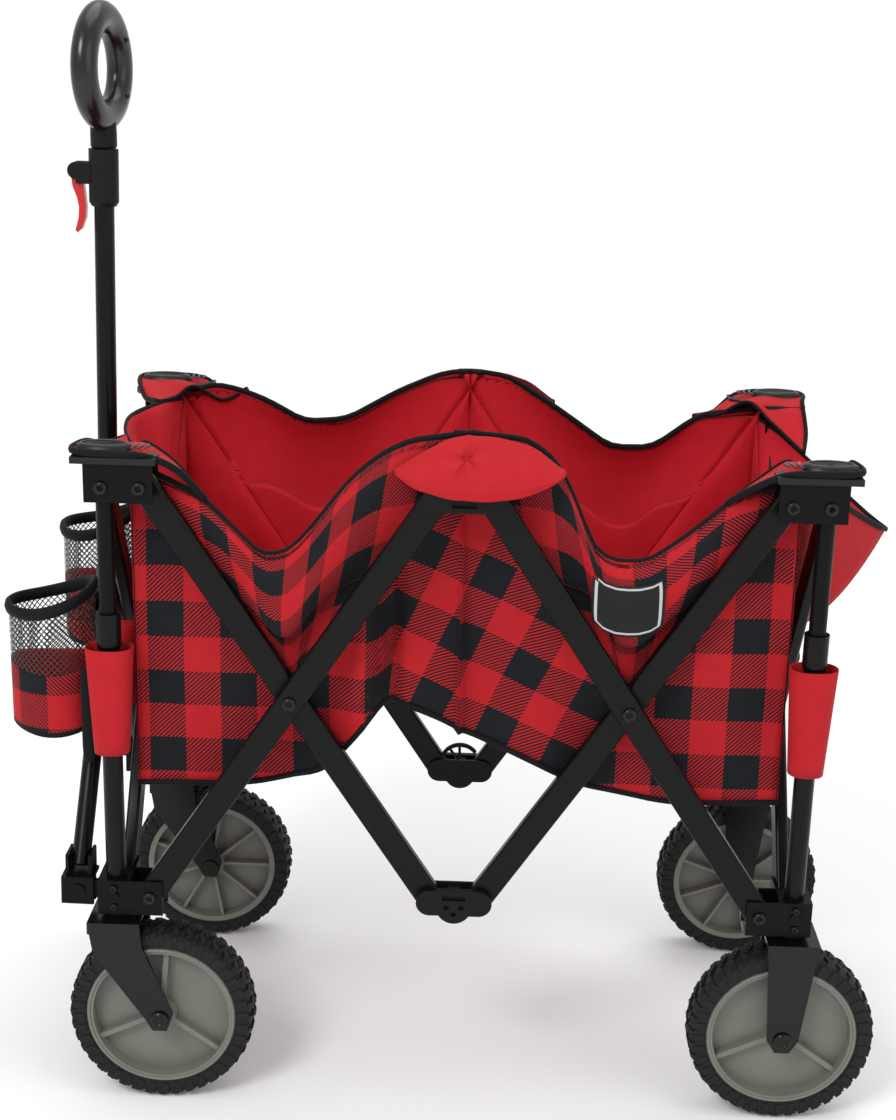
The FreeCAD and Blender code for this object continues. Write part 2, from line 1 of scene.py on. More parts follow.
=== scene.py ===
import json
import math
import bpy
import bmesh
import numpy as np
from mathutils import Matrix, Vector
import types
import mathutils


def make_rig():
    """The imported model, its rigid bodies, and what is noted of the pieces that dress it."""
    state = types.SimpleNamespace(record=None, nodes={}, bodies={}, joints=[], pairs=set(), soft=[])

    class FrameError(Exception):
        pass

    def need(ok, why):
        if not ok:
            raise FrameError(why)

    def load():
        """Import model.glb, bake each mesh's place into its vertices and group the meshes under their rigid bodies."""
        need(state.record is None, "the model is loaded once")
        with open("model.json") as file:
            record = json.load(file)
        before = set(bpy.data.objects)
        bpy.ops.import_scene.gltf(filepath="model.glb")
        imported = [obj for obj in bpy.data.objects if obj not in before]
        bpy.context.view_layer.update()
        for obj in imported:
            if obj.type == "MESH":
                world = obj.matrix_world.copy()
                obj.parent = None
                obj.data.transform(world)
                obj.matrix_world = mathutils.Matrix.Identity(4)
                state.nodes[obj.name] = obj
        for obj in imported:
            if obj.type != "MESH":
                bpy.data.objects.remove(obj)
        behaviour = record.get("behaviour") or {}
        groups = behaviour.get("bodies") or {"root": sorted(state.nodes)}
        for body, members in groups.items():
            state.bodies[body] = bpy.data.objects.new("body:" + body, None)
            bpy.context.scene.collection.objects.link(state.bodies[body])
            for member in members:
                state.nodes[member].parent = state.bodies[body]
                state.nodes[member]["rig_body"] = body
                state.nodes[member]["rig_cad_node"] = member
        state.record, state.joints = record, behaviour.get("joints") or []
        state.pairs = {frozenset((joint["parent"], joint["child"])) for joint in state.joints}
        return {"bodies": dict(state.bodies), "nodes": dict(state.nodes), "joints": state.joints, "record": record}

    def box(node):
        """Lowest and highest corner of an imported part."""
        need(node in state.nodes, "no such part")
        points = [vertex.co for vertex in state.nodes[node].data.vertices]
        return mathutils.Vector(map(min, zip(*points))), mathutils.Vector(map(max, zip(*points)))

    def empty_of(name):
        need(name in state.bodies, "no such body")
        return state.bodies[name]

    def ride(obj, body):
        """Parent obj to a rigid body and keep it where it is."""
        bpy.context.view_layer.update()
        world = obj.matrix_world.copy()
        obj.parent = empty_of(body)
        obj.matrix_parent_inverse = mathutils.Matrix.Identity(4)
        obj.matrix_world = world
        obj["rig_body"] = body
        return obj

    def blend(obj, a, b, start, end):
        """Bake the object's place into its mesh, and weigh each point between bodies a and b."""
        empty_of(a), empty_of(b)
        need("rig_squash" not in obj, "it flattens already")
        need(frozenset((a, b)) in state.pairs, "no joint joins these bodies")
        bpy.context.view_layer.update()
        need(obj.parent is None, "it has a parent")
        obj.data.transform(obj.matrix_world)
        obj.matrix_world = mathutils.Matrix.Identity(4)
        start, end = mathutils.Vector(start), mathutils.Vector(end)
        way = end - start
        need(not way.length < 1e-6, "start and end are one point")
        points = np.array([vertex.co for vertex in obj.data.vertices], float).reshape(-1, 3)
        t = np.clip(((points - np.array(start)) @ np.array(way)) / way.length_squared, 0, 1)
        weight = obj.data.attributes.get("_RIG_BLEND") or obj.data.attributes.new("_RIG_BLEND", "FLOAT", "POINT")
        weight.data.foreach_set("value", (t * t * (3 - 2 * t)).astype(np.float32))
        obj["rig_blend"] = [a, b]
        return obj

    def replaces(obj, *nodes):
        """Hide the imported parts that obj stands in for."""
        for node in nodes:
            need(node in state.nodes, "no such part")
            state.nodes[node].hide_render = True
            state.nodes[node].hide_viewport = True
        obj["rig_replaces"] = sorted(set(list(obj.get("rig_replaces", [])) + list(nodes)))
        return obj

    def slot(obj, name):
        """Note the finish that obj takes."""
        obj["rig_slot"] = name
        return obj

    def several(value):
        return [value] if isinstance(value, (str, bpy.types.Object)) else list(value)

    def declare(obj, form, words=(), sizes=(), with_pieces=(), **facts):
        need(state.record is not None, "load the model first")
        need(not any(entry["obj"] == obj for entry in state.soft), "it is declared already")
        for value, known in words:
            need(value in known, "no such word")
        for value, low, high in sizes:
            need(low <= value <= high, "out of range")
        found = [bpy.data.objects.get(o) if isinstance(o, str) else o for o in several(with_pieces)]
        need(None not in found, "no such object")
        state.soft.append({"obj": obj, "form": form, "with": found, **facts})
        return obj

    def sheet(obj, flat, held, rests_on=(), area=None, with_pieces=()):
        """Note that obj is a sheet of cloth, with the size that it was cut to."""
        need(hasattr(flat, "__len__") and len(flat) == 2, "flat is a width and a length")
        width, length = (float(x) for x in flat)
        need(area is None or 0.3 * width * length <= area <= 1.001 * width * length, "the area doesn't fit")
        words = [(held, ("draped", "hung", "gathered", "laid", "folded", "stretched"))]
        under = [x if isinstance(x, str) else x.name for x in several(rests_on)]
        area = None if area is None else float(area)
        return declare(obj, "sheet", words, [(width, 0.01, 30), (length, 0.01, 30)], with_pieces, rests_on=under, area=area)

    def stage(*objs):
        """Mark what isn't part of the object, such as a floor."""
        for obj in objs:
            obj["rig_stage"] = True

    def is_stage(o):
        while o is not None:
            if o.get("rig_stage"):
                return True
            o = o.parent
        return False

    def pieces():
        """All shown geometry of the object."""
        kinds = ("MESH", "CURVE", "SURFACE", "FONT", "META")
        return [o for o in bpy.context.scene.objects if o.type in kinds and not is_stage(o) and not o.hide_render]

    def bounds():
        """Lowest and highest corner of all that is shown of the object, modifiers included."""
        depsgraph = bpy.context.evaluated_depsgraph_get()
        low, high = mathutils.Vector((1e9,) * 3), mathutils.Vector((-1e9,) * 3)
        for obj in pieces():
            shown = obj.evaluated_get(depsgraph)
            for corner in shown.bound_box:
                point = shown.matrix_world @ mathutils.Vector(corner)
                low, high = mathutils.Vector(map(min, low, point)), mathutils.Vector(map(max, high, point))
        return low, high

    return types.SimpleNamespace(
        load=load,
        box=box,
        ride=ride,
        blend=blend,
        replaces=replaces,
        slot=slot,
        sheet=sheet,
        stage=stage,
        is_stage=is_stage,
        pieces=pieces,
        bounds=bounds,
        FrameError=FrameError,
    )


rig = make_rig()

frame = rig.load()

bl_info = {
    "name": "Folding camp wagon",
    "version": (1, 0, 0),
    "blender": (4, 2, 0),
    "location": "View3D > Sidebar > Camp Wagon",
    "description": "Finishes, cloth, tyres and studio for a folding camp wagon",
    "category": "Object",
}

# ------------------------------------------------------------------ frame sizes, metres
SHIFT = 0.005           # bag middle along X
PIVOT_X = 0.2905        # side tube pivots either side of the bag middle
PIVOT_Y = 0.1336        # end tube pivots either side of the bag middle
HUB_X = 0.02335         # centre hub pivots
Z_LOW = 0.2152
Z_UP = 0.2152 + 0.484 * math.sin(math.radians(56.5))
Z_MID = (Z_LOW + Z_UP) / 2
RUN = 0.484 * math.cos(math.radians(56.5))
SLOPE = math.tan(math.radians(56.5))
POST_X = 0.3245
POST_Y = 0.1628
WALL_Y = 0.1445         # bag wall from the middle, sideways
WALL_X = 0.3050         # bag wall from the middle, lengthways
BRACKET_FACE = 0.0176   # outer face of a bracket from its post's middle
TUBE_FACE = 0.0148      # outer face of a crossing tube from there
LAP = 0.0025            # second cloth layer behind the first
POCKETS = {"left": (-0.387 + SHIFT, -0.111, 0.369),     # middle x and y, underside z
           "right": (-0.387 + SHIFT, 0.102, 0.385)}
RIM_DROP = 0.0012       # binding's middle below the cloth's top edge
FLOOR_LIFT = 0.0015     # floor cloth above the panels' lower edges
FLOOR_ROWS = 10
PLAID_U = 0.0886        # where the plaid's squares start, lengthways
PLAID_Z = 0.3325        # and in height

SIDES = {"left": -1.0, "right": 1.0}
ENDS = {"front": -1.0, "rear": 1.0}
CORNERS = [(e, s) for e in ENDS for s in SIDES]


# ------------------------------------------------------------------ materials
def new_material(name):
    """Empty node material with its shader and output."""
    m = bpy.data.materials.new(name)
    m.use_nodes = True
    return m, m.node_tree, m.node_tree.nodes["Principled BSDF"]


def math_node(tree, op, a, b=None):
    """Math node over sockets or numbers."""
    n = tree.nodes.new("ShaderNodeMath")
    n.operation = op
    for i, v in enumerate((a, b)):
        if v is None:
            continue
        if isinstance(v, (int, float)):
            n.inputs[i].default_value = v
        else:
            tree.links.new(v, n.inputs[i])
    return n.outputs[0]


def mix_colour(tree, factor, a, b):
    """Colour mix over sockets or colours."""
    n = tree.nodes.new("ShaderNodeMix")
    n.data_type = "RGBA"
    for socket, v in ((n.inputs[0], factor), (n.inputs[6], a), (n.inputs[7], b)):
        if hasattr(v, "is_output"):
            tree.links.new(v, socket)
        elif isinstance(v, (int, float)):
            socket.default_value = v
        else:
            socket.default_value = (*v[:3], 1.0)
    return n.outputs[2]


def noise(tree, scale, detail=3.0, source=None):
    """Noise value in object space, or over a given vector."""
    n = tree.nodes.new("ShaderNodeTexNoise")
    n.inputs["Scale"].default_value = scale
    n.inputs["Detail"].default_value = detail
    if source is None:
        c = tree.nodes.new("ShaderNodeTexCoord")
        source = c.outputs["Object"]
    tree.links.new(source, n.inputs["Vector"])
    return n.outputs[0]


def bump(tree, shader, height, strength, distance):
    """Bump from a height socket."""
    b = tree.nodes.new("ShaderNodeBump")
    b.inputs["Strength"].default_value = strength
    b.inputs["Distance"].default_value = distance
    tree.links.new(height, b.inputs["Height"])
    tree.links.new(b.outputs[0], shader.inputs["Normal"])


def plain(name, colour, rough, metallic=0.0, grain=400.0, depth=0.0001, coat=0.0, shine=0.25):
    """Moulded or painted finish with a fine grain and slightly uneven gloss."""
    m, t, s = new_material(name)
    s.inputs["Metallic"].default_value = metallic
    s.inputs["Specular IOR Level"].default_value = shine
    s.inputs["Coat Weight"].default_value = coat
    s.inputs["Coat Roughness"].default_value = 0.12
    patch = noise(t, 22.0)
    shade = mix_colour(t, patch, [c * 0.86 for c in colour[:3]], [c * 1.14 for c in colour[:3]])
    t.links.new(shade, s.inputs["Base Color"])
    r = math_node(t, "MULTIPLY_ADD", patch, 0.12)
    r.node.inputs[2].default_value = rough - 0.06
    t.links.new(r, s.inputs["Roughness"])
    if depth:
        bump(t, s, noise(t, grain, 2.0), 0.35, depth)
    return m


def weave_height(tree, uv, pitch):
    """Height of a plain weave over cloth coordinates."""
    sep = tree.nodes.new("ShaderNodeSeparateXYZ")
    tree.links.new(uv, sep.inputs[0])
    k = 2 * math.pi / pitch
    u = math_node(tree, "SINE", math_node(tree, "MULTIPLY", sep.outputs[0], k))
    v = math_node(tree, "SINE", math_node(tree, "MULTIPLY", sep.outputs[1], k))
    return math_node(tree, "MULTIPLY", u, v), sep


def cloth_finish(tree, shader, colour, weave):
    """Woven sheen, roughness and weave bump."""
    if hasattr(colour, "is_output"):
        tree.links.new(colour, shader.inputs["Base Color"])
    else:
        shade = mix_colour(tree, noise(tree, 60.0), [c * 0.9 for c in colour], [c * 1.1 for c in colour])
        tree.links.new(shade, shader.inputs["Base Color"])
    shader.inputs["Roughness"].default_value = 0.72
    shader.inputs["Specular IOR Level"].default_value = 0.14
    shader.inputs["Sheen Weight"].default_value = 0.03
    shader.inputs["Sheen Roughness"].default_value = 0.4
    bump(tree, shader, weave, 0.4, 0.0002)


def plaid_cloth(name, red, black, square, pitch):
    """Buffalo plaid: black and red squares with diagonal two-colour twill between."""
    m, t, s = new_material(name)
    uv = t.nodes.new("ShaderNodeUVMap")
    uv.uv_map = "cloth"
    weave, sep = weave_height(t, uv.outputs[0], 0.0016)
    u, v = sep.outputs[0], sep.outputs[1]
    a = math_node(t, "FLOORED_MODULO", math_node(t, "FLOOR", math_node(t, "DIVIDE", u, square)), 2.0)
    b = math_node(t, "FLOORED_MODULO", math_node(t, "FLOOR", math_node(t, "DIVIDE", v, square)), 2.0)
    diag = math_node(t, "SUBTRACT", u, v)
    twill = math_node(t, "FRACT", math_node(t, "DIVIDE", diag, pitch))
    twill = math_node(t, "GREATER_THAN", twill, 0.5)
    both = math_node(t, "MULTIPLY", a, b)
    either = math_node(t, "MAXIMUM", a, b)
    mixed = math_node(t, "SUBTRACT", either, both)
    share = math_node(t, "ADD", both, math_node(t, "MULTIPLY", mixed, twill))
    worn = noise(t, 90.0)
    dark = mix_colour(t, worn, [c * 0.85 for c in black], [c * 1.2 for c in black])
    light = mix_colour(t, worn, [c * 0.9 for c in red], [c * 1.08 for c in red])
    cloth_finish(t, s, mix_colour(t, share, dark, light), weave)
    return m


def plain_cloth(name, colour):
    """One-colour woven cloth."""
    m, t, s = new_material(name)
    uv = t.nodes.new("ShaderNodeUVMap")
    uv.uv_map = "cloth"
    weave, _ = weave_height(t, uv.outputs[0], 0.0016)
    cloth_finish(t, s, colour, weave)
    return m


def net_cloth(name, colour, pitch):
    """Open diamond net, see-through between its threads."""
    m, t, s = new_material(name)
    uv = t.nodes.new("ShaderNodeUVMap")
    uv.uv_map = "cloth"
    sep = t.nodes.new("ShaderNodeSeparateXYZ")
    t.links.new(uv.outputs[0], sep.inputs[0])
    lines = []
    for op in ("ADD", "SUBTRACT"):
        d = math_node(t, op, sep.outputs[0], sep.outputs[1])
        f = math_node(t, "FRACT", math_node(t, "DIVIDE", d, pitch))
        lines.append(math_node(t, "LESS_THAN", f, 0.19))
    alpha = math_node(t, "MAXIMUM", lines[0], lines[1])
    t.links.new(alpha, s.inputs["Alpha"])
    s.inputs["Base Color"].default_value = (*colour, 1.0)
    s.inputs["Roughness"].default_value = 0.6
    return m


# ------------------------------------------------------------------ mesh helpers
def make_mesh(name, verts, faces, materials, face_mats=None, uvs=None, smooth=True):
    """Object from vertex and face lists, with optional per-vertex cloth coordinates."""
    me = bpy.data.meshes.new(name)
    me.from_pydata([tuple(v) for v in verts], [], faces)
    me.update()
    for m in materials:
        me.materials.append(m)
    if face_mats is not None:
        me.polygons.foreach_set("material_index", face_mats)
    if uvs is not None:
        layer = me.uv_layers.new(name="cloth")
        loops = np.zeros(len(me.loops), np.int32)
        me.loops.foreach_get("vertex_index", loops)
        layer.data.foreach_set("uv", np.asarray(uvs, np.float32)[loops].ravel())
    me.polygons.foreach_set("use_smooth", [smooth] * len(me.polygons))
    ob = bpy.data.objects.new(name, me)
    bpy.context.scene.collection.objects.link(ob)
    return ob


def cloth_grid(name, p, uv, back, materials, bands=None):
    """Two-faced cloth from a grid p (rows, columns, 3); back is the step to its inner face.
    bands holds rows drawn in the binding material (index 2)."""
    m, n, _ = p.shape
    outer = p.reshape(-1, 3)
    step = np.broadcast_to(np.asarray(back, float), p.shape).reshape(-1, 3)
    verts = np.vstack([outer, outer + step])
    k = m * n
    idx = np.arange(k).reshape(m, n)
    a, b = idx[:-1, :-1].ravel(), idx[:-1, 1:].ravel()
    c, d = idx[1:, 1:].ravel(), idx[1:, :-1].ravel()
    rows = np.repeat(np.arange(m - 1), n - 1)
    band = np.isin(rows, list(bands or []))
    quads = np.stack([a, b, c, d], 1)
    e1 = outer[quads[:, 1]] - outer[quads[:, 0]]
    e2 = outer[quads[:, 3]] - outer[quads[:, 0]]
    facing = np.einsum("ij,ij->i", np.cross(e1, e2), -step[quads[:, 0]]).sum()
    front = quads if facing > 0 else quads[:, ::-1]
    rear = front[:, ::-1] + k
    mats = [2 if x else 0 for x in band] + [2 if x else 1 for x in band]
    rim = list(idx[0, :]) + list(idx[1:, -1]) + list(idx[-1, -2::-1]) + list(idx[-2:0:-1, 0])
    edge = []
    for i, v in enumerate(rim):
        w = rim[(i + 1) % len(rim)]
        q = (v, w, w + k, v + k) if facing < 0 else (w, v, v + k, w + k)
        edge.append(tuple(int(x) for x in q))
    mats += [2] * len(edge)
    faces = [tuple(int(x) for x in f) for f in np.vstack([front, rear])] + edge
    uvs = np.vstack([uv.reshape(-1, 2)] * 2)
    return make_mesh(name, verts, faces, materials, mats, uvs)


def sample(surface, rows, columns):
    """Points and cloth coordinates of a surface given over two fractions."""
    got = [[surface(i / (rows - 1), j / (columns - 1)) for j in range(columns)]
           for i in range(rows)]
    p = np.array([[tuple(point) for point, _ in row] for row in got])
    uv = np.array([[place for _, place in row] for row in got])
    return p, uv


def outward(p, x, y):
    """Level unit steps away from the upright axis at x, y."""
    out = p - (x, y, 0)
    out[:, :, 2] = 0
    return out / np.linalg.norm(out, axis=2, keepdims=True)


def set_weights(ob, a, b, weights, start, end):
    """Bend ob from body a to body b with one weight per grid point, for both faces."""
    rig.blend(ob, a, b, start, end)
    w = np.concatenate([weights.ravel()] * 2).astype(np.float32)
    ob.data.attributes["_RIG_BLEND"].data.foreach_set("value", w)
    return ob


def ring_faces(rows, seg, closed=False):
    """Quads between rows of seg points, and from the last row to the first if closed."""
    faces = []
    for i in range(rows if closed else rows - 1):
        q = (i + 1) % rows
        for j in range(seg):
            k = (j + 1) % seg
            faces.append((i * seg + j, i * seg + k, q * seg + k, q * seg + j))
    return faces


def tube_along(name, path, radius, material, sides=10, flat=1.0, closed=False, up=(0, 0, 1)):
    """Round or flattened bar along a path of points."""
    pts = [Vector(p) for p in path]
    verts = []
    n = len(pts)
    for i, p in enumerate(pts):
        if closed:
            t = pts[(i + 1) % n] - pts[i - 1]
        else:
            t = pts[min(i + 1, n - 1)] - pts[max(i - 1, 0)]
        t.normalize()
        u = Vector(up)
        side = t.cross(u)
        if side.length < 1e-4:
            side = t.cross(Vector((1, 0, 0)))
        side.normalize()
        lift = side.cross(t).normalized()
        r = radius[i] if hasattr(radius, "__len__") else radius
        for j in range(sides):
            a = 2 * math.pi * j / sides
            verts.append(p + side * (math.cos(a) * r) + lift * (math.sin(a) * r * flat))
    faces = ring_faces(n, sides, closed)
    if not closed:
        faces.append(tuple(range(sides))[::-1])
        faces.append(tuple(range((n - 1) * sides, n * sides)))
    return make_mesh(name, verts, faces, [material])


def smooth_path(points, n):
    """n points on a smooth curve through the given ones."""
    pts = np.array(points, float)
    pts = np.vstack([2 * pts[0] - pts[1], pts, 2 * pts[-1] - pts[-2]])
    out = []
    for t in np.linspace(0, len(points) - 1, n):
        i = min(int(t), len(points) - 2)
        f = t - i
        a, b, c, d = pts[i:i + 4]
        out.append(0.5 * (2 * b + (c - a) * f + (2 * a - 5 * b + 4 * c - d) * f * f
                          + (3 * b - a - 3 * c + d) * f ** 3))
    return np.array(out)


def bound_edge(name, line, weights, a, b, slot_name, radius=0.0017, tall=1.7):
    """Binding folded over a cloth edge that bends from body a to body b."""
    sides = 8
    ob = tube_along(name, line, radius, MATS["binding"], sides, tall)
    recalc(ob)
    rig.blend(ob, a, b, line[0], line[-1])
    w = np.repeat(np.asarray(weights, np.float32), sides)
    ob.data.attributes["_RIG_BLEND"].data.foreach_set("value", w)
    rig.slot(ob, slot_name)
    return ob


def hang(ob, p, share, a, b, slot_name, rim, low=None):
    """Blend a panel from body a to body b, bind its rim row and, if given, its low row."""
    w = np.broadcast_to(share[None, :], p.shape[:2])
    start = p[low or 0]
    set_weights(ob, a, b, w, start[0], start[-1])
    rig.slot(ob, slot_name)
    bound_edge(ob.name + "_rim", p[rim] + (0, 0, -RIM_DROP), share, a, b, slot_name)
    if low is not None:
        bound_edge(ob.name + "_low", p[low], share, a, b, slot_name)
    return w


def ride_on(ob, body, slot_name):
    """Attach a finished piece to its body and name its finish."""
    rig.slot(ob, slot_name)
    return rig.ride(ob, body)


def recalc(ob):
    """Outward normals on a closed piece."""
    bm = bmesh.new()
    bm.from_mesh(ob.data)
    bmesh.ops.recalc_face_normals(bm, faces=bm.faces)
    bm.to_mesh(ob.data)
    bm.free()
    return ob


def curve_at(line, x):
    """Smooth value of a polyline of (x, value) points at x."""
    xs = np.array([p[0] for p in line])
    ys = np.array([p[1] for p in line])
    x = np.asarray(x, float)
    w = 0.12 * (xs[-1] - xs[0]) / (len(xs) - 1) * 2
    total = sum(np.interp(x + d * w, xs, ys) for d in (-1, -0.5, 0, 0.5, 1))
    return total / 5


# ------------------------------------------------------------------ settings
class WagonCloth(bpy.types.PropertyGroup):
    """Cloth sizes and colours."""

    red: bpy.props.FloatVectorProperty(
        name="Red", description="Red of the plaid and the outside pockets", subtype="COLOR",
        size=3, default=(0.40, 0.011, 0.016))
    lining: bpy.props.FloatVectorProperty(
        name="Lining", description="Red of the bag's inner face", subtype="COLOR",
        size=3, default=(0.46, 0.010, 0.019))
    black: bpy.props.FloatVectorProperty(
        name="Black", description="Dark colour of the plaid", subtype="COLOR",
        size=3, default=(0.0065, 0.0078, 0.0098))
    binding: bpy.props.FloatVectorProperty(
        name="Binding", description="Colour of the edge binding", subtype="COLOR",
        size=3, default=(0.005, 0.005, 0.006))
    square: bpy.props.FloatProperty(
        name="Square", description="Side of one plaid square", unit="LENGTH", default=0.034)
    twill: bpy.props.FloatProperty(
        name="Twill pitch", description="Pitch of the diagonal stripes", unit="LENGTH",
        default=0.0042)
    thickness: bpy.props.FloatProperty(
        name="Thickness", description="Cloth thickness", unit="LENGTH", default=0.0012)
    bulge: bpy.props.FloatProperty(
        name="Bulge", description="How far the slack rim cloth stands out", unit="LENGTH",
        default=0.026)


class WagonRunning(bpy.types.PropertyGroup):
    """Wheel and frame finishes."""

    paint: bpy.props.FloatVectorProperty(
        name="Frame paint", description="Powder coat on the tubes", subtype="COLOR",
        size=3, default=(0.0024, 0.0024, 0.0028))
    wheel_grey: bpy.props.FloatVectorProperty(
        name="Wheel grey", description="Moulded wheel discs", subtype="COLOR",
        size=3, default=(0.17, 0.168, 0.145))
    lever_red: bpy.props.FloatVectorProperty(
        name="Lever red", description="Cam lever", subtype="COLOR",
        size=3, default=(0.45, 0.008, 0.012))
    tread_count: bpy.props.IntProperty(
        name="Tread blocks", description="Tread blocks round one tyre", default=40)
    tyre_radius: bpy.props.FloatProperty(
        name="Tyre radius", description="Outer radius over the tread", unit="LENGTH",
        default=round(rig.box("tyre_front_left")[1].z, 4) / 2)


class WagonStage(bpy.types.PropertyGroup):
    """Floor, lights and camera."""

    floor: bpy.props.FloatVectorProperty(
        name="Floor", description="Studio floor colour", subtype="COLOR",
        size=3, default=(0.92, 0.92, 0.92))
    key_power: bpy.props.FloatProperty(
        name="Key light", description="Power of the key light", unit="POWER", default=56.0)
    lens: bpy.props.FloatProperty(
        name="Lens", description="Camera focal length", unit="CAMERA", default=57.4)


MATS = {}


def make_materials(cloth, running):
    """Every finish, made once and kept by name."""
    p = running.paint
    MATS["tube"] = plain("powder coated tube", p, 0.32, 0.0, 900.0, 0.00006, 0.0, 0.16)
    MATS["bracket"] = plain("bracket steel paint", p, 0.40, 0.0, 900.0, 0.00008, 0.0, 0.12)
    MATS["fork"] = plain("fork paint", [c * 1.3 for c in p], 0.24, 0.0, 700.0, 0.00006, 0.0, 0.3)
    MATS["mould"] = plain("black moulding", (0.005, 0.005, 0.0055), 0.5, 0.0, 1100.0, 0.0001, 0.0, 0.15)
    MATS["gloss"] = plain("gloss grip moulding", (0.004, 0.004, 0.0045), 0.26, 0.0, 60.0, 0.0, 0.1, 0.4)
    MATS["tyre"] = plain("tyre rubber", (0.009, 0.009, 0.0095), 0.66, 0.0, 500.0, 0.0002)
    MATS["wheel"] = plain("grey wheel moulding", running.wheel_grey, 0.45, 0.0, 900.0, 0.00008)
    MATS["lever"] = plain("red lever moulding", running.lever_red, 0.25, 0.0, 60.0, 0.0, 0.4)
    MATS["bolt"] = plain("black oxide bolt", (0.012, 0.012, 0.012), 0.24, 0.3, 60.0, 0.0)
    MATS["badge"] = plain("badge moulding", (0.008, 0.0085, 0.0085), 0.38, 0.0, 900.0, 0.00006)
    MATS["badge_line"] = plain("badge ridge", (0.06, 0.06, 0.058), 0.34, 0.0, 60.0, 0.0)
    MATS["plaid"] = plaid_cloth("plaid cloth", cloth.red, cloth.black, cloth.square, cloth.twill)
    MATS["red"] = plain_cloth("red cloth", cloth.red)
    MATS["lining"] = plain_cloth("bag lining", cloth.lining)
    MATS["binding"] = plain_cloth("black binding", cloth.binding)
    MATS["net"] = net_cloth("pocket net", (0.02, 0.02, 0.02), 0.0062)
    MATS["patch"] = plain("patch face", (0.005, 0.0055, 0.006), 0.55, 0.0, 900.0, 0.00008)
    MATS["patch_line"] = plain("patch border", (0.42, 0.43, 0.43), 0.55, 0.0, 900.0, 0.00008)


# ------------------------------------------------------------------ bag geometry
NEAR_RIM = [(-0.305, 0.636), (-0.276, 0.624), (-0.240, 0.606), (-0.210, 0.576), (-0.186, 0.552),
            (-0.160, 0.556), (-0.140, 0.578), (-0.104, 0.626), (-0.077, 0.650), (-0.050, 0.664),
            (0.003, 0.672), (0.055, 0.668), (0.083, 0.647), (0.099, 0.614), (0.118, 0.566),
            (0.140, 0.556), (0.170, 0.558), (0.205, 0.584), (0.247, 0.622), (0.305, 0.638)]
FAR_RIM = [(-0.305, 0.640), (-0.270, 0.652), (-0.242, 0.646), (-0.215, 0.636), (-0.175, 0.614),
           (-0.130, 0.618), (-0.075, 0.650), (-0.030, 0.670), (0.000, 0.674), (0.040, 0.669),
           (0.095, 0.634), (0.150, 0.596), (0.195, 0.597), (0.243, 0.634), (0.305, 0.642)]
LOW_EDGE = [(-0.305, 0.320), (-0.200, 0.322), (-0.125, 0.338), (-0.098, 0.372), (-0.078, 0.408),
            (-0.060, 0.408), (-0.018, 0.390), (0.039, 0.364), (0.116, 0.332), (0.198, 0.316),
            (0.305, 0.320)]


def rim_z(side, x):
    """Rim height of one long side at x from the bag middle."""
    return curve_at(NEAR_RIM if side == "left" else FAR_RIM, x)


def low_z(x):
    """Lower edge height of the bag at x from its middle."""
    return curve_at(LOW_EDGE, x)


def wall_waves(x, z, side):
    """Slack in a hanging wall: shallow upright and slanting folds, in metres outward."""
    s = SIDES[side]
    y = 0.0022 * np.sin(x * 41.0 + 2.0 * s) * np.sin((z - 0.32) * 9.0)
    deep = 0.0035 if side == "left" else 0.008
    y = y - deep * np.abs(np.sin(x * 19.0 + z * 7.0 + s)) - 0.002 * np.sin(z * 37.0 + x * 23.0)
    return y


def turned_uv(x, z, x0, z0, angle):
    """Cloth coordinates turned by an angle about a point."""
    c, s = math.cos(angle), math.sin(angle)
    return np.stack([(x - x0) * c + (z - z0) * s, (z - z0) * c - (x - x0) * s], -1)


def rows_with_binding(m, height, band=0.009):
    """Row fractions from the bottom to the top with a narrow binding row at each end."""
    e = min(0.2, band / height)
    return np.concatenate([[0.0], np.linspace(e, 1 - e, m), [1.0]])


def with_floor(p, uv, y, lift):
    """Panel p with floor rows added that run in from its lower edge to the bag middle."""
    y = y * (1 - np.linspace(0, 1, FLOOR_ROWS + 1)[1:, None])
    floor = np.stack([np.broadcast_to(p[0, :, 0], y.shape), y,
                      np.broadcast_to(p[0, :, 2], y.shape) + lift], -1)
    floor_uv = np.stack([np.broadcast_to(uv[0, :, 0], y.shape), np.abs(y) - WALL_Y], -1)
    return np.concatenate([floor[::-1], p]), np.concatenate([floor_uv[::-1], uv])


def panel_back(p, s):
    """Steps to the inner face: up on the floor rows, inward on the wall rows."""
    thick = bpy.context.scene.wagon_cloth.thickness
    back = np.zeros(p.shape)
    back[FLOOR_ROWS:, :, 1] = -s * thick
    back[:FLOOR_ROWS, :, 2] = thick
    return back


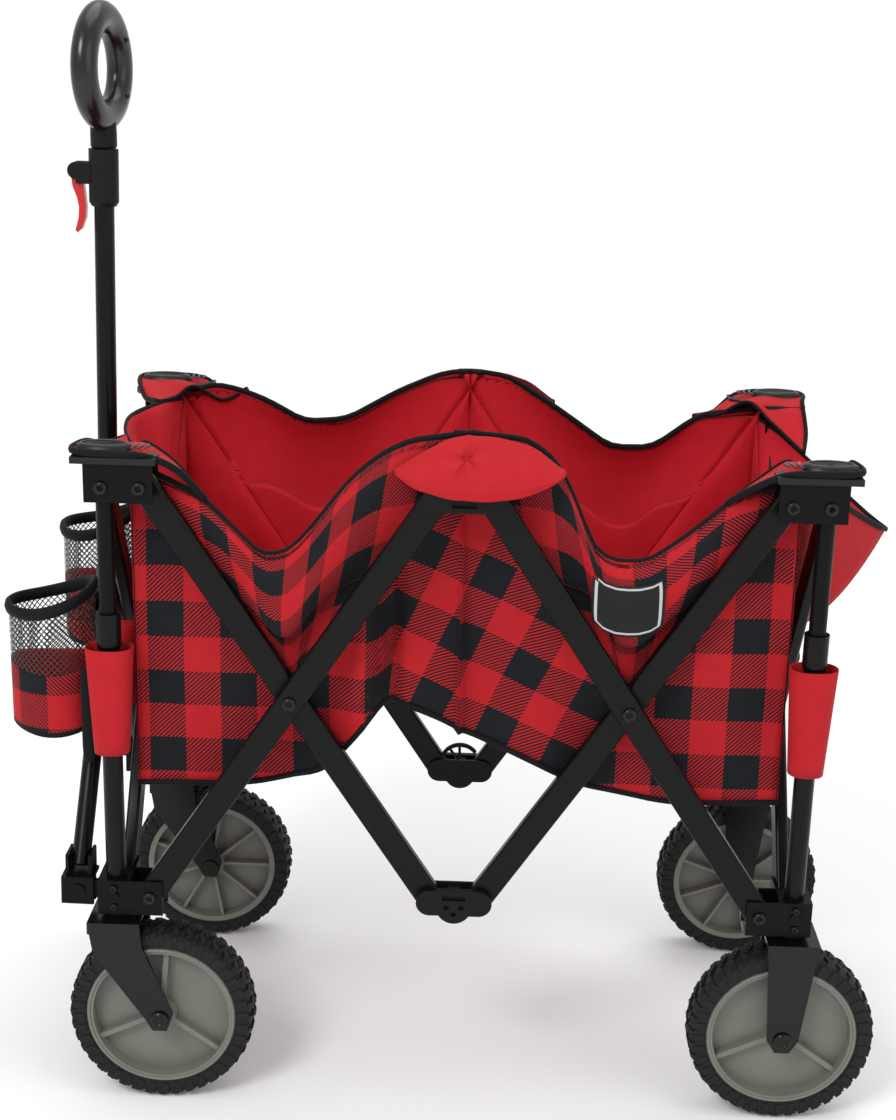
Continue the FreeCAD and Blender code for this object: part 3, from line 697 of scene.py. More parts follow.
def wall_panel(side, end):
    """Hanging panel between a post and the tube from that upper corner, and its floor."""
    s, e = SIDES[side], ENDS[end]
    m, n = 44, 22
    rows = rows_with_binding(m, 0.31)
    f = np.linspace(0, 1, n)
    x_in = np.zeros((len(rows), n))
    z_in = np.zeros((len(rows), n))
    for j, c in enumerate(f):
        x_top = -WALL_X + c * (WALL_X - PIVOT_X - 0.006)
        x_low = -WALL_X + c * (WALL_X - PIVOT_X + (Z_UP - 0.325) / SLOPE)
        for _ in range(6):
            zt = float(rim_z(side, e * -x_top))
            x_top = -WALL_X + c * (WALL_X - PIVOT_X + (Z_UP - zt) / SLOPE)
            zb = float(low_z(e * -x_low))
            x_low = -WALL_X + c * (WALL_X - PIVOT_X + (Z_UP - zb) / SLOPE)
        x_in[:, j] = x_low + (x_top - x_low) * rows
        z_in[:, j] = zb + (zt - zb) * rows
    x = -e * x_in
    edge = 1 - np.abs(2 * f - 1)[None, :] ** 4
    y = s * (WALL_Y + wall_waves(x, z_in, side) * edge - 0.001)
    p = np.stack([x + SHIFT, y, z_in], -1)
    uv = np.stack([x + PLAID_U, z_in - PLAID_Z], -1)
    p, uv = with_floor(p, uv, np.full(n, s * WALL_Y), FLOOR_LIFT)
    ob = cloth_grid("bag_wall_%s_%s" % (side, end), p, uv, panel_back(p, s),
                    [MATS["plaid"], MATS["lining"], MATS["binding"]])
    tube = "side_%s_%s" % ("a" if end == "front" else "d", side)
    corner = "upper_corner_%s_%s" % (end, side)
    hang(ob, p, f, corner, tube, "bag_plaid", -1, FLOOR_ROWS)
    return ob, p


def rim_swag(side, end):
    """Slack cloth between the two crossing tubes, hung from the rim and tucked under."""
    s, e = SIDES[side], ENDS[end]
    cloth = bpy.context.scene.wagon_cloth
    cx, cz = e * (PIVOT_X - RUN / 2), Z_MID
    n = 30
    f = np.linspace(0, 1, n)
    x0 = e * (PIVOT_X + (float(rim_z(side, e * 0.297)) - Z_UP) / SLOPE)
    x1 = e * (HUB_X - (float(rim_z(side, e * 0.008)) - Z_UP) / SLOPE)
    rx = x0 + (x1 - x0) * f
    rz = rim_z(side, rx)
    rz[0] = Z_UP + (abs(x0) - PIVOT_X) * SLOPE
    rz[-1] = Z_UP + (HUB_X - e * x1) * SLOPE
    # tucked profile: share of the way from crossing to rim, and stand-off
    prof = [(1.0, 0.10), (0.95, 0.35), (0.86, 0.72), (0.74, 0.95), (0.62, 1.0), (0.52, 0.95),
            (0.445, 0.75), (0.42, 0.45), (0.44, 0.16), (0.49, 0.03), (0.52, -0.06),
            (0.46, -0.10), (0.38, -0.10), (0.28, -0.08), (0.16, -0.05), (0.004, -0.02)]
    ts, outs = [], []
    for (t0, o0), (t1, o1) in zip(prof[:-1], prof[1:]):
        for k in (0.0, 0.5):
            ts.append(t0 + (t1 - t0) * k)
            outs.append(o0 + (o1 - o0) * k)
    ts.append(prof[-1][0])
    outs.append(prof[-1][1])
    ts.insert(1, 0.955)
    outs.insert(1, outs[0] + 0.25 * 0.9)
    ts, outs = np.array(ts), np.array(outs)
    plump = np.sin(np.pi * f) ** 0.6
    tilt = 0.5 + 0.5 * np.sin(np.pi * f) ** 2
    length = np.concatenate([[0], np.cumsum(np.hypot(np.diff(rx), np.diff(rz)))])
    m = len(ts)
    p = np.zeros((m, n, 3))
    uv = np.zeros((m, n, 2))
    run = 0.0
    for i in range(m):
        lift = 0.0 if ts[i] > 0.6 else 0.06 * min(1.0, ts[i] / 0.4)
        t = np.minimum(1.0, ts[i] + lift * (1 - plump))
        p[i, :, 0] = cx + (rx - cx) * t + SHIFT
        p[i, :, 2] = cz + (rz - cz) * t
        p[i, :, 1] = s * (WALL_Y - 0.001 + cloth.bulge * outs[i] * plump * tilt)
        if i:
            step = np.linalg.norm(p[i] - p[i - 1], axis=1).mean()
            run += step
        mid = length[-1] * 0.5
        uv[i, :, 0] = (length - mid) * (0.35 + 0.65 * t) + 0.4
        uv[i, :, 1] = -run
    name = "bag_swag_%s_%s" % (side, end)
    back = (0, -s * cloth.thickness, 0)
    ob = cloth_grid(name, p, uv, back, [MATS["plaid"], MATS["lining"], MATS["binding"]])
    angle = np.arctan2(rz - cz, rx - cx)
    near, far = ("a", "b") if end == "front" else ("d", "c")
    a, b = "side_%s_%s" % (near, side), "side_%s_%s" % (far, side)
    w = hang(ob, p, (angle - angle[0]) / (angle[-1] - angle[0]), a, b, "bag_plaid", 0)
    if (side, end) == ("left", "rear"):
        sew_patch(p, w, a, b)
    return ob, p


def centre_panel(side, end):
    """Panel between the hub's centre line and the tube down from the hub, and its floor."""
    s, e = SIDES[side], ENDS[end]
    cloth = bpy.context.scene.wagon_cloth
    m, n = 46, 44
    rows = rows_with_binding(m, 0.28)
    f = np.linspace(0, 1, n)
    xs = np.zeros((len(rows), n))
    zs = np.zeros((len(rows), n))
    for j, c in enumerate(f):
        x_top, x_low = 0.006 * c, 0.15 * c
        for _ in range(8):
            zt = float(rim_z(side, e * x_top))
            x_top = c * (HUB_X - (zt - Z_UP) / SLOPE)
            zb = float(low_z(e * x_low))
            x_low = c * (HUB_X + (Z_UP - zb) / SLOPE)
        xs[:, j] = x_low + (x_top - x_low) * rows
        zs[:, j] = zb + (zt - zb) * rows
    x = e * xs
    deepen = np.clip((Z_UP - zs) / 0.12, 0, 1)
    under = np.clip((Z_MID + 0.02 - zs) / 0.05, 0, 1) * f[None, :]
    y = WALL_Y - 0.001 - LAP * under
    crease = 0.016 * np.exp(-((x + 0.067) / 0.011) ** 2) * np.clip((zs - 0.36) / 0.05, 0, 1)
    swell = 0.010 * np.exp(-((x + 0.092) / 0.016) ** 2) * np.clip((0.60 - zs) / 0.1, 0, 1)
    slant = 0.006 * np.sin((zs * 0.85 + x * 0.5) * 46.0) * deepen
    hollow = 0.020 * np.clip(1 - np.abs(x) / 0.09, 0, 1) * deepen
    inside = np.clip(f[None, :] * (1 - f[None, :]) * 4, 0, 1)
    if side == "left":
        y = y - crease * (1 if e < 0 else 0) - hollow * inside ** 0.3 + slant * inside * 0.7
        y = y + swell * (1 if e < 0 else 0) * inside - 0.004 * inside
    else:
        y = y - 0.006 * inside + slant * inside * 0.6
    p = np.stack([x + SHIFT, s * y, zs], -1)
    if e < 0:
        straight = np.stack([x + PLAID_U, zs - PLAID_Z], -1)
        lean = turned_uv(x, zs, -0.05, 0.40, math.radians(-24)) + 2 * cloth.square
        over = np.clip((-0.060 - x) / 0.014, 0, 1)[..., None]
        uv = straight * over + lean * (1 - over)
    else:
        uv = turned_uv(x, zs, -0.05, 0.40, math.radians(-24))
    p, uv = with_floor(p, uv, p[0, :, 1], FLOOR_LIFT + LAP)
    ob = cloth_grid("bag_centre_%s_%s" % (side, end), p, uv, panel_back(p, s),
                    [MATS["plaid"], MATS["lining"], MATS["binding"]])
    hub = "top_hub_" + side
    tube = "side_%s_%s" % ("b" if end == "front" else "c", side)
    if side == "right" and end == "rear":
        hub = "hub_cap_right"
    hang(ob, p, f, hub, tube, "bag_plaid", -1, FLOOR_ROWS)
    return ob, p


def end_rim(end, y):
    """Rim height of an end panel."""
    high, low = (0.641, 0.645) if end == "front" else (0.628, 0.604)
    line = [(-0.145, 0.636), (-0.10, high), (0.0, low), (0.10, high), (0.145, 0.636)]
    return curve_at(line, y)


def end_wall(end, side):
    """End panel between a post and the end tube from that upper corner."""
    s, e = SIDES[side], ENDS[end]
    cloth = bpy.context.scene.wagon_cloth
    m, n = 40, 20
    rows = rows_with_binding(m, 0.31)
    f = np.linspace(0, 1, n)
    ys = np.zeros((len(rows), n))
    zs = np.zeros((len(rows), n))
    wide = WALL_Y - 0.0005
    for j, c in enumerate(f):
        y_top, y_low = wide, 0.0
        for _ in range(6):
            zt = float(end_rim(end, y_top))
            y_top = wide - c * (wide - PIVOT_Y + (Z_UP - zt) / SLOPE)
            y_low = wide - c * (wide - PIVOT_Y + (Z_UP - 0.32) / SLOPE)
        ys[:, j] = y_low + (y_top - y_low) * rows
        zs[:, j] = 0.32 + (zt - 0.32) * rows
    edge = 1 - np.abs(2 * f - 1)[None, :] ** 4
    slack = -0.003 * np.abs(np.sin(ys * 45.0 + zs * 9.0)) * edge
    under = np.clip((Z_MID + 0.02 - zs) / 0.05, 0, 1) * f[None, :] * (1 if side == "right" else 0)
    x = e * (WALL_X - 0.001 + slack - LAP * under)
    p = np.stack([x + SHIFT, s * ys, zs], -1)
    uv = np.stack([ys + 0.3, zs - 0.32 + 0.011], -1)
    face = MATS["red"] if end == "front" else MATS["plaid"]
    ob = cloth_grid("bag_end_%s_%s" % (end, side), p, uv, (-e * cloth.thickness, 0, 0),
                    [face, MATS["lining"], MATS["binding"]])
    tube = "end_%s_%s" % ("f" if side == "left" else "e", end)
    hang(ob, p, f, "upper_corner_%s_%s" % (end, side), tube, "bag_end", -1, 0)
    return ob, p


def end_slack(end):
    """Cloth between the two end tubes, slack and pushed out; behind, it makes a beak."""
    e = ENDS[end]
    cloth = bpy.context.scene.wagon_cloth
    n, m = 31, 26
    f = np.linspace(0, 1, n)
    y_out = PIVOT_Y + 0.008
    ry = -y_out + 2 * y_out * f
    rz = end_rim(end, ry)
    rz[0] = rz[-1] = Z_UP + (y_out - PIVOT_Y) * SLOPE
    if end == "rear":
        drop = (1 - np.abs(2 * f - 1)) ** 1.1
        rz = rz - 0.052 * drop
        stand = 0.112 * drop
    else:
        stand = 0.029 * np.sin(np.pi * f) ** 1.5
    ts = np.concatenate([[1.0, 0.955], np.linspace(0.92, 0.004, m)])
    p = np.zeros((len(ts), n, 3))
    uv = np.zeros((len(ts), n, 2))
    for i, t in enumerate(ts):
        shape = max(0.0, (t - 0.17) / 0.83) ** (0.45 if end == "rear" else 1.5)
        p[i, :, 1] = ry * t
        p[i, :, 2] = Z_MID + (rz - Z_MID) * t
        near_tube = np.clip(np.minimum(f, 1 - f) / 0.08, 0, 1)
        fold = 0.012 * np.sin(ry * 62.0) * shape * near_tube * min(1.0, (1 - t) * 3)
        fold = fold if end == "front" else 0.0
        p[i, :, 0] = e * (WALL_X - 0.001 + stand * shape * near_tube + fold) + SHIFT
        uv[i, :, 0] = ry * t + 0.3
        uv[i, :, 1] = p[i, :, 2] - 0.32
    ob = cloth_grid("bag_slack_" + end, p, uv, (-e * cloth.thickness, 0, 0),
                    [MATS["red"], MATS["lining"], MATS["binding"]])
    angle = np.arctan2(rz - Z_MID, ry)
    share = (angle - angle[0]) / (angle[-1] - angle[0])
    hang(ob, p, share, "end_f_" + end, "end_e_" + end, "bag_end", 0)
    return ob, p


def sew_patch(p, w, a, b):
    """Blank bordered patch sewn on rim cloth p, just under the rim."""
    size = 26
    down = np.concatenate([np.zeros((1, p.shape[1])),
                           np.cumsum(np.linalg.norm(np.diff(p, axis=0), axis=2), 0)])
    middle, wide, top, tall = 0.1505 + SHIFT, 0.0335, 0.033, 0.047
    last = 24
    q = np.zeros((size, size, 3))
    weight = np.zeros((size, size))
    for i, v in enumerate(np.linspace(-1, 1, size)):
        for j, u in enumerate(np.linspace(-1, 1, size)):
            uu = u * math.sqrt(1 - 0.10 * v ** 4)
            vv = v * math.sqrt(1 - 0.10 * u ** 4)
            x = middle + wide * uu
            order = np.argsort(p[0, :, 0])
            col = float(np.interp(x, p[0, order, 0], order))
            c = min(int(col), p.shape[1] - 2)
            t = col - c
            depth = top + tall * (vv + 1) / 2
            ends = []
            for k in (c, c + 1):
                r = float(np.interp(depth, down[:last, k], np.arange(last)))
                i0 = min(int(r), last - 2)
                ends.append(p[i0, k] * (1 - r + i0) + p[i0 + 1, k] * (r - i0))
            q[i, j] = ends[0] * (1 - t) + ends[1] * t
            q[i, j, 0] = x
            weight[i, j] = w[0, c] * (1 - t) + w[0, c + 1] * t
    q[:, :, 1] -= 0.0030
    ob = cloth_grid("patch", q, q[:, :, (0, 2)], (0, 0.0010, 0),
                    [MATS["patch"], MATS["patch"], MATS["patch"], MATS["patch_line"]])
    k = size - 1
    for i in range(k):
        for j in range(k):
            edge = min(i, j, k - 1 - i, k - 1 - j)
            if edge == 1:
                ob.data.polygons[i * k + j].material_index = 3
    set_weights(ob, a, b, weight, q[0, 0], q[0, -1])
    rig.slot(ob, "bag_plaid")
    declare_sheet(ob, q, "stretched", ["top_hub_left"])


def grid_area(p):
    """Area of one face of a grid of points."""
    a = p[1:, 1:] - p[:-1, :-1]
    b = p[1:, :-1] - p[:-1, 1:]
    return float(np.linalg.norm(np.cross(a, b), axis=-1).sum() / 2)


def declare_sheet(ob, p, held, on):
    """Declare a cloth piece with its cut size, from its own rows and columns."""
    wide = float(np.linalg.norm(np.diff(p, axis=1), axis=2).sum(1).max())
    tall = float(np.linalg.norm(np.diff(p, axis=0), axis=2).sum(0).max())
    area = min(grid_area(p), wide * tall)
    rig.sheet(ob, flat=(wide, tall), held=held, rests_on=on, area=max(area, 0.3 * wide * tall))


# ------------------------------------------------------------------ operators
class WAGON_OT_frame_finish(bpy.types.Operator):
    """Give every frame part its finish and soften its edges."""

    bl_idname = "wagon.frame_finish"
    bl_label = "Frame finishes"

    def execute(self, context):
        make_materials(context.scene.wagon_cloth, context.scene.wagon_running)
        kinds = (("lower_bracket", "bracket"), ("upper_bracket", "bracket"),
                 ("side_tube", "tube"), ("end_tube", "tube"), ("handle_arm", "tube"),
                 ("outer_post", "tube"), ("pull_tube", "tube"), ("corner_cap", "badge"),
                 ("fork", "fork"), ("wheel_hub", "wheel"), ("top_hub", "mould"),
                 ("bottom_hub", "mould"), ("hub_cap", "mould"), ("yoke", "bracket"),
                 ("handle_hub", "bracket"), ("lock_collar", "mould"), ("lock_lever", "lever"),
                 ("grip", "gloss"), ("tyre", "tyre"))
        for name, ob in frame["nodes"].items():
            for start, key in kinds:
                if name.startswith(start):
                    ob.data.materials.clear()
                    ob.data.materials.append(MATS[key])
                    bevel = ob.modifiers.new("soft edges", "BEVEL")
                    bevel.width = 0.0012 if key in ("bracket", "fork", "mould", "badge") else 0.0006
                    bevel.segments = 2
                    bevel.limit_method = "ANGLE"
                    bevel.angle_limit = math.radians(40)
                    bevel.harden_normals = False
        return {"FINISHED"}


def bolt_head(name, centre, direction, radius=0.006):
    """Domed rivet head with a hollow middle."""
    d = Vector(direction).normalized()
    turn = d.to_track_quat("Z", "Y").to_matrix().to_4x4()
    profile = [(0.0, -0.0004), (0.38, -0.0004), (0.45, 0.0012), (0.62, 0.0019), (0.85, 0.0014),
               (1.0, 0.0)]
    verts = []
    seg = 20
    for r, h in profile:
        for j in range(seg):
            a = 2 * math.pi * j / seg
            v = Vector((math.cos(a) * r * radius, math.sin(a) * r * radius, h))
            verts.append(Vector(centre) + turn @ v)
    return make_mesh(name, verts, ring_faces(len(profile), seg), [MATS["bolt"]])


class WAGON_OT_bolts(bpy.types.Operator):
    """Rivet and bolt heads on the brackets and the tube crossings."""

    bl_idname = "wagon.bolts"
    bl_label = "Bolts"

    def execute(self, context):
        for end, side in CORNERS:
            e, s = ENDS[end], SIDES[side]
            y = s * (POST_Y + BRACKET_FACE)
            x_face = e * (POST_X + BRACKET_FACE)
            for z, where in ((Z_LOW, "lower"), (Z_UP, "upper")):
                body = "%s_corner_%s_%s" % (where, end, side)
                spots = [(e * PIVOT_X, z, 0.0062)]
                if where == "lower":
                    spots += [(e * POST_X, z + 0.009, 0.0036), (e * POST_X, z - 0.010, 0.0036)]
                else:
                    spots += [(e * POST_X, z, 0.0062)]
                for k, (x, zz, r) in enumerate(spots):
                    name = "bolt_%s_%s_%s_%d" % (where, end, side, k)
                    ob = bolt_head(name, (x + SHIFT, y, zz), (0, s, 0), r)
                    ride_on(ob, body, "bracket_black")
                ob = bolt_head("bolt_end_%s_%s_%s" % (where, end, side),
                               (x_face + SHIFT, s * PIVOT_Y, z), (e, 0, 0))
                ride_on(ob, body, "bracket_black")
        for side, s in SIDES.items():
            for end, e in ENDS.items():
                tube = "side_%s_%s" % ("b" if end == "front" else "c", side)
                x = e * (PIVOT_X - RUN / 2)
                ob = bolt_head("rivet_cross_%s_%s" % (side, end),
                               (x + SHIFT, s * (POST_Y + TUBE_FACE), Z_MID), (0, s, 0), 0.0066)
                ride_on(ob, tube, "tube_black")
        for end, e in ENDS.items():
            ob = bolt_head("rivet_cross_" + end, (e * (POST_X + TUBE_FACE) + SHIFT, 0, Z_MID),
                           (e, 0, 0), 0.0066)
            ride_on(ob, "end_f_" + end, "tube_black")
        return {"FINISHED"}


def tyre_mesh(name, centre, radius, blocks):
    """Tyre with rounded shoulders and two staggered rows of zig-zag tread blocks."""
    base = radius - 0.0024
    profile = [(0.0722, -0.0165), (0.0735, -0.0180), (0.0790, -0.0186), (base - 0.004, -0.0180),
               (base - 0.0008, -0.0150), (base, -0.0110), (base, 0.0), (base, 0.0110),
               (base - 0.0008, 0.0150), (base - 0.004, 0.0180), (0.0790, 0.0186),
               (0.0735, 0.0180), (0.0722, 0.0165)]
    seg = 96
    verts = []
    n = len(profile)
    for i in range(seg):
        a = 2 * math.pi * i / seg
        for r, y in profile:
            verts.append((centre[0] + r * math.cos(a), centre[1] + y, centre[2] + r * math.sin(a)))
    faces = ring_faces(seg, n, closed=True)
    step = 2 * math.pi / blocks
    shapes = [[(-0.0186, -0.30), (-0.0070, -0.30), (-0.0015, 0.02), (-0.0050, 0.28),
               (-0.0120, 0.05), (-0.0186, 0.24)],
              [(0.0186, 0.20), (0.0070, 0.20), (0.0015, 0.52), (0.0050, 0.78),
               (0.0120, 0.55), (0.0186, 0.74)],
              [(-0.0022, -0.42), (0.0030, -0.30), (0.0034, -0.05), (-0.0010, -0.16)]]
    for i in range(blocks):
        for shape in shapes:
            start = len(verts)
            for lift in (-0.002, 0.0024):
                for y, t in shape:
                    a = (i + t) * step
                    drop = 0.0030 if abs(y) > 0.018 else 0.0
                    yy = y * (1.02 if lift > 0 else 1.0)
                    r = base + lift - drop - (0.0 if lift > 0 else 0.002)
                    verts.append((centre[0] + r * math.cos(a), centre[1] + yy,
                                  centre[2] + r * math.sin(a)))
            k = len(shape)
            faces.append(tuple(range(start + k, start + 2 * k)))
            for j in range(k):
                q = (j + 1) % k
                faces.append((start + j, start + q, start + k + q, start + k + j))
    for i in range(blocks):
        for s in (-1, 1):
            start = len(verts)
            a0, a1 = i * step, (i + 0.5) * step
            for y in (s * 0.0178, s * 0.0194):
                for a, r in ((a0, base - 0.013), (a1, base - 0.013), (a1, base - 0.002),
                             (a0, base - 0.002)):
                    verts.append((centre[0] + r * math.cos(a), centre[1] + y,
                                  centre[2] + r * math.sin(a)))
            faces.append((start + 4, start + 5, start + 6, start + 7))
            for j in range(4):
                q = (j + 1) % 4
                faces.append((start + j, start + q, start + 4 + q, start + 4 + j))
    ob = make_mesh(name, verts, faces, [MATS["tyre"]], smooth=False)
    return recalc(ob)


class WAGON_OT_tyres(bpy.types.Operator):
    """Knobbly tyres over the plain rings, and a rim lip on each wheel."""

    bl_idname = "wagon.tyres"
    bl_label = "Tyres"

    def execute(self, context):
        run = context.scene.wagon_running
        for end, side in CORNERS:
            node = "tyre_%s_%s" % (end, side)
            lo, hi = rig.box(node)
            centre = ((lo.x + hi.x) / 2, (lo.y + hi.y) / 2, (lo.z + hi.z) / 2)
            ob = tyre_mesh("tread_%s_%s" % (end, side), centre, run.tyre_radius, run.tread_count)
            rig.replaces(ob, node)
            ride_on(ob, "wheel_%s_%s" % (end, side), "tyre")
            s = SIDES[side]
            lip = []
            for i in range(72):
                a = 2 * math.pi * i / 72
                lip.append((centre[0] + 0.0705 * math.cos(a), centre[1] + s * 0.0172,
                            centre[2] + 0.0705 * math.sin(a)))
            ring = tube_along("rim_lip_%s_%s" % (end, side), lip, 0.0016, MATS["wheel"], 8,
                              closed=True, up=(0, 1, 0))
            ride_on(ring, "wheel_%s_%s" % (end, side), "hub_grey")
            cap = bolt_head("axle_nut_%s_%s" % (end, side),
                            (centre[0], centre[1] + s * 0.0281, centre[2]), (0, s, 0), 0.0085)
            body = "caster_front_" + side if end == "front" else "lower_corner_rear_" + side
            ride_on(cap, body, "fork_black")
        return {"FINISHED"}


class WAGON_OT_handle(bpy.types.Operator):
    """Fat ring grip turned on its neck, with two screw recesses."""

    bl_idname = "wagon.handle"
    bl_label = "Handle grip"

    def execute(self, context):
        lo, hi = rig.box("grip")
        cx = (lo.x + hi.x) / 2
        turn = math.radians(-9.5)
        radius, radial, axial = 0.0445, 0.0140, 0.0122
        cz = hi.z - radius - radial + 0.0004
        seg, sides = 72, 20
        verts = []
        for i in range(seg):
            a = 2 * math.pi * i / seg
            wide = radius * (1.0 - 0.04 * math.sin(a))
            cy, cc = wide * math.cos(a), radius * math.sin(a)
            for j in range(sides):
                b = 2 * math.pi * j / sides
                out = math.cos(b) * radial * (1.0 - 0.05 * math.cos(2 * a))
                x = math.sin(b) * axial
                y = cy + math.cos(a) * out
                z = cc + math.sin(a) * out
                verts.append((cx - y * math.sin(turn) + x * math.cos(turn),
                              y * math.cos(turn) + x * math.sin(turn), cz + z))
        faces = ring_faces(seg, sides, closed=True)
        ring = recalc(make_mesh("grip_ring", verts, faces, [MATS["gloss"]]))
        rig.replaces(ring, "grip")
        ride_on(ring, "handle_slider", "grip_gloss")
        low = lo.z
        path = [(cx - 0.0008, 0, low + h) for h in (0.0, 0.002, 0.012, 0.022, 0.027, 0.032)]
        radii = [0.0112, 0.0124, 0.0124, 0.0122, 0.0120, 0.0118]
        neck = recalc(tube_along("grip_neck", path, radii, MATS["mould"], 28, up=(0, 1, 0)))
        ride_on(neck, "handle_slider", "grip_gloss")
        for k, a in enumerate((0.42, -0.5)):
            y = 0.036 * math.cos(a)
            z = 0.036 * math.sin(a) * 1.6
            spot = (cx - y * math.sin(turn) + 0.0116 * math.cos(turn),
                    y * math.cos(turn) + 0.0116 * math.sin(turn), cz + z)
            plug = bolt_head("grip_screw_%d" % k, spot, (math.cos(turn), math.sin(turn), 0), 0.0026)
            ride_on(plug, "handle_slider", "grip_gloss")
        return {"FINISHED"}


class WAGON_OT_bag(bpy.types.Operator):
    """The hung bag: four side walls, centre panels, tucked rims and end panels."""

    bl_idname = "wagon.bag"
    bl_label = "Bag"

    def execute(self, context):
        made = {}
        for side in SIDES:
            for end in ENDS:
                made["w", side, end] = wall_panel(side, end)
                made["s", side, end] = rim_swag(side, end)
                made["c", side, end] = centre_panel(side, end)
        for end in ENDS:
            for side in SIDES:
                made["e", end, side] = end_wall(end, side)
            made["k", end, ""] = end_slack(end)
        for side in SIDES:
            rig.replaces(made["w", side, "front"][0], "bag_side_" + side)
        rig.replaces(made["c", "left", "front"][0], "bag_floor")
        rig.replaces(made["e", "front", "left"][0], "bag_front")
        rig.replaces(made["k", "rear", ""][0], "bag_rear")
        for key, (ob, p) in made.items():
            hang = "upper_bracket_front_left"
            if key[0] in ("w", "s", "c"):
                hang = "top_hub_" + key[1]
            declare_sheet(ob, p, "hung", [hang])
        return {"FINISHED"}


class WAGON_OT_trim(bpy.types.Operator):
    """Corner hoods and badges, hub hoods, post sleeves and webbing tails."""

    bl_idname = "wagon.trim"
    bl_label = "Bag trim"

    def execute(self, context):
        cloth = context.scene.wagon_cloth
        red = [MATS["red"], MATS["red"], MATS["binding"]]
        for end, side in CORNERS:
            e, s = ENDS[end], SIDES[side]
            tag = "%s_%s" % (end, side)
            upper = "upper_corner_" + tag
            self.hood(tag, end, side, upper, red)
            self.badge(tag, e, s, upper)
            self.sleeve(tag, e, s, upper, cloth)
        for side, s in SIDES.items():
            self.hub_hood(side, s)
        return {"FINISHED"}

    def hood(self, tag, end, side, body, mats):
        """Three-cornered hood over an upper bracket, bound all round."""
        e, s = ENDS[end], SIDES[side]
        rise = float(rim_z(side, e * 0.236)) + 0.0015
        dip = float(end_rim(end, 0.080)) + 0.0015
        first = (0.236, 0.1475, rise)
        out, fall = (0.012, 0.0) if end == "front" else (0.036, 0.016)
        last = (0.307 + out, 0.080, dip - fall)
        outer = smooth_path([first, (0.258, 0.161, 0.632), (0.284, 0.178, 0.6485),
                             (0.320, 0.1835, 0.6515), (0.345, 0.179, 0.6515),
                             (0.3525, 0.163, 0.6515), (0.347, 0.132, 0.6500),
                             (0.330 + out / 2, 0.104, 0.642 - fall), last], 60)
        inner = smooth_path([first, (0.262, 0.142, 0.634), (0.290, 0.131, 0.6500),
                             (0.303 + out / 4, 0.112, 0.642 - fall / 2), last], 60)
        flip = np.array([e, s, 1.0])
        u = np.linspace(0, 1, 9)[:, None, None]
        p = (outer[None] * (1 - u) + inner[None] * u) * flip
        p[:, :, 2] += 0.0028 * np.sin(math.pi * u[:, :, 0])
        p[:, :, 0] += SHIFT
        ob = cloth_grid("hood_" + tag, p, p[:, :, :2].copy(), (0, 0, -0.0012), mats)
        ride_on(ob, body, "bag_end")
        declare_sheet(ob, p, "stretched", ["upper_bracket_" + tag])
        for kind, line, r in (("outer", p[0], 0.0023), ("inner", p[-1], 0.0014)):
            edge = tube_along("hood_%s_%s" % (kind, tag), line, r, MATS["binding"], 8, 1.4)
            ride_on(recalc(edge), body, "bag_end")

    def badge(self, tag, e, s, body):
        """Oval boss with ridges and a screw on the corner cap."""
        px, py = e * (POST_X - 0.001) + SHIFT, s * (POST_Y - 0.001)
        z = 0.6540
        seg = 40
        verts = []
        profile = [(0.0, 0.0), (0.62, 0.0), (0.70, 0.0016), (0.82, 0.0022), (0.94, 0.0012),
                   (1.0, -0.004)]
        for r, h in profile:
            for j in range(seg):
                a = 2 * math.pi * j / seg
                verts.append((px + 0.026 * r * math.cos(a), py + 0.015 * r * math.sin(a), z + h))
        faces = ring_faces(len(profile), seg)
        ob = recalc(make_mesh("badge_" + tag, verts, faces, [MATS["badge"]]))
        ride_on(ob, body, "cap_plastic")
        ring = [(px + 0.0205 * math.cos(t), py + 0.0115 * math.sin(t), z + 0.0022)
                for t in np.linspace(0, 2 * math.pi, 40, endpoint=False)]
        ride_on(tube_along("badge_ring_" + tag, ring, 0.0009, MATS["badge_line"], 6, closed=True),
                body, "cap_plastic")
        for k in range(3):
            x = px - e * (0.029 + 0.006 * k)
            w = 0.011 - 0.002 * k
            path = [(x + e * 0.003, py - w, z + 0.0002), (x, py, z + 0.0006),
                    (x + e * 0.003, py + w, z + 0.0002)]
            ride_on(recalc(tube_along("badge_rib_%s_%d" % (tag, k), path, 0.0012,
                                      MATS["badge_line"], 6)), body, "cap_plastic")
        ride_on(bolt_head("badge_screw_" + tag, (px, py, z + 0.0004), (0, 0, 1), 0.0035),
                body, "cap_plastic")

    def sleeve(self, tag, e, s, body, cloth):
        """Tapered cloth sleeve round the outer post; a front sleeve also gets a webbing tail behind it."""
        px, py = e * POST_X + SHIFT, s * POST_Y

        def surface(v, u):
            z = 0.360 + 0.104 * v
            wide = 0.0165 + 0.0060 * v
            deep = 0.0150 + 0.0015 * v
            a = 2 * math.pi * u
            c, d = math.cos(a), math.sin(a)
            x = px + wide * np.sign(c) * abs(c) ** 0.8
            y = py + deep * np.sign(d) * abs(d) ** 0.9
            return Vector((x, y, z)), (u * 0.12, z)

        p, uv = sample(surface, 12, 41)
        ob = cloth_grid("sleeve_" + tag, p, uv, -outward(p, px, py) * cloth.thickness,
                        [MATS["red"]] * 3)
        ride_on(ob, body, "bag_end")
        declare_sheet(ob, p, "stretched", ["outer_post_" + tag])
        if e > 0:
            return
        x = px - 0.0245
        y = py - s * 0.010
        path = [(x, y, z) for z in (0.344, 0.348, 0.36, 0.38, 0.40, 0.42, 0.435, 0.438)]
        radii = [0.003, 0.0055, 0.006, 0.006, 0.006, 0.006, 0.005, 0.003]
        tail = tube_along("webbing_" + tag, path, radii, MATS["binding"], 12, 0.32, up=(0, 1, 0))
        ride_on(recalc(tail), body, "bag_end")

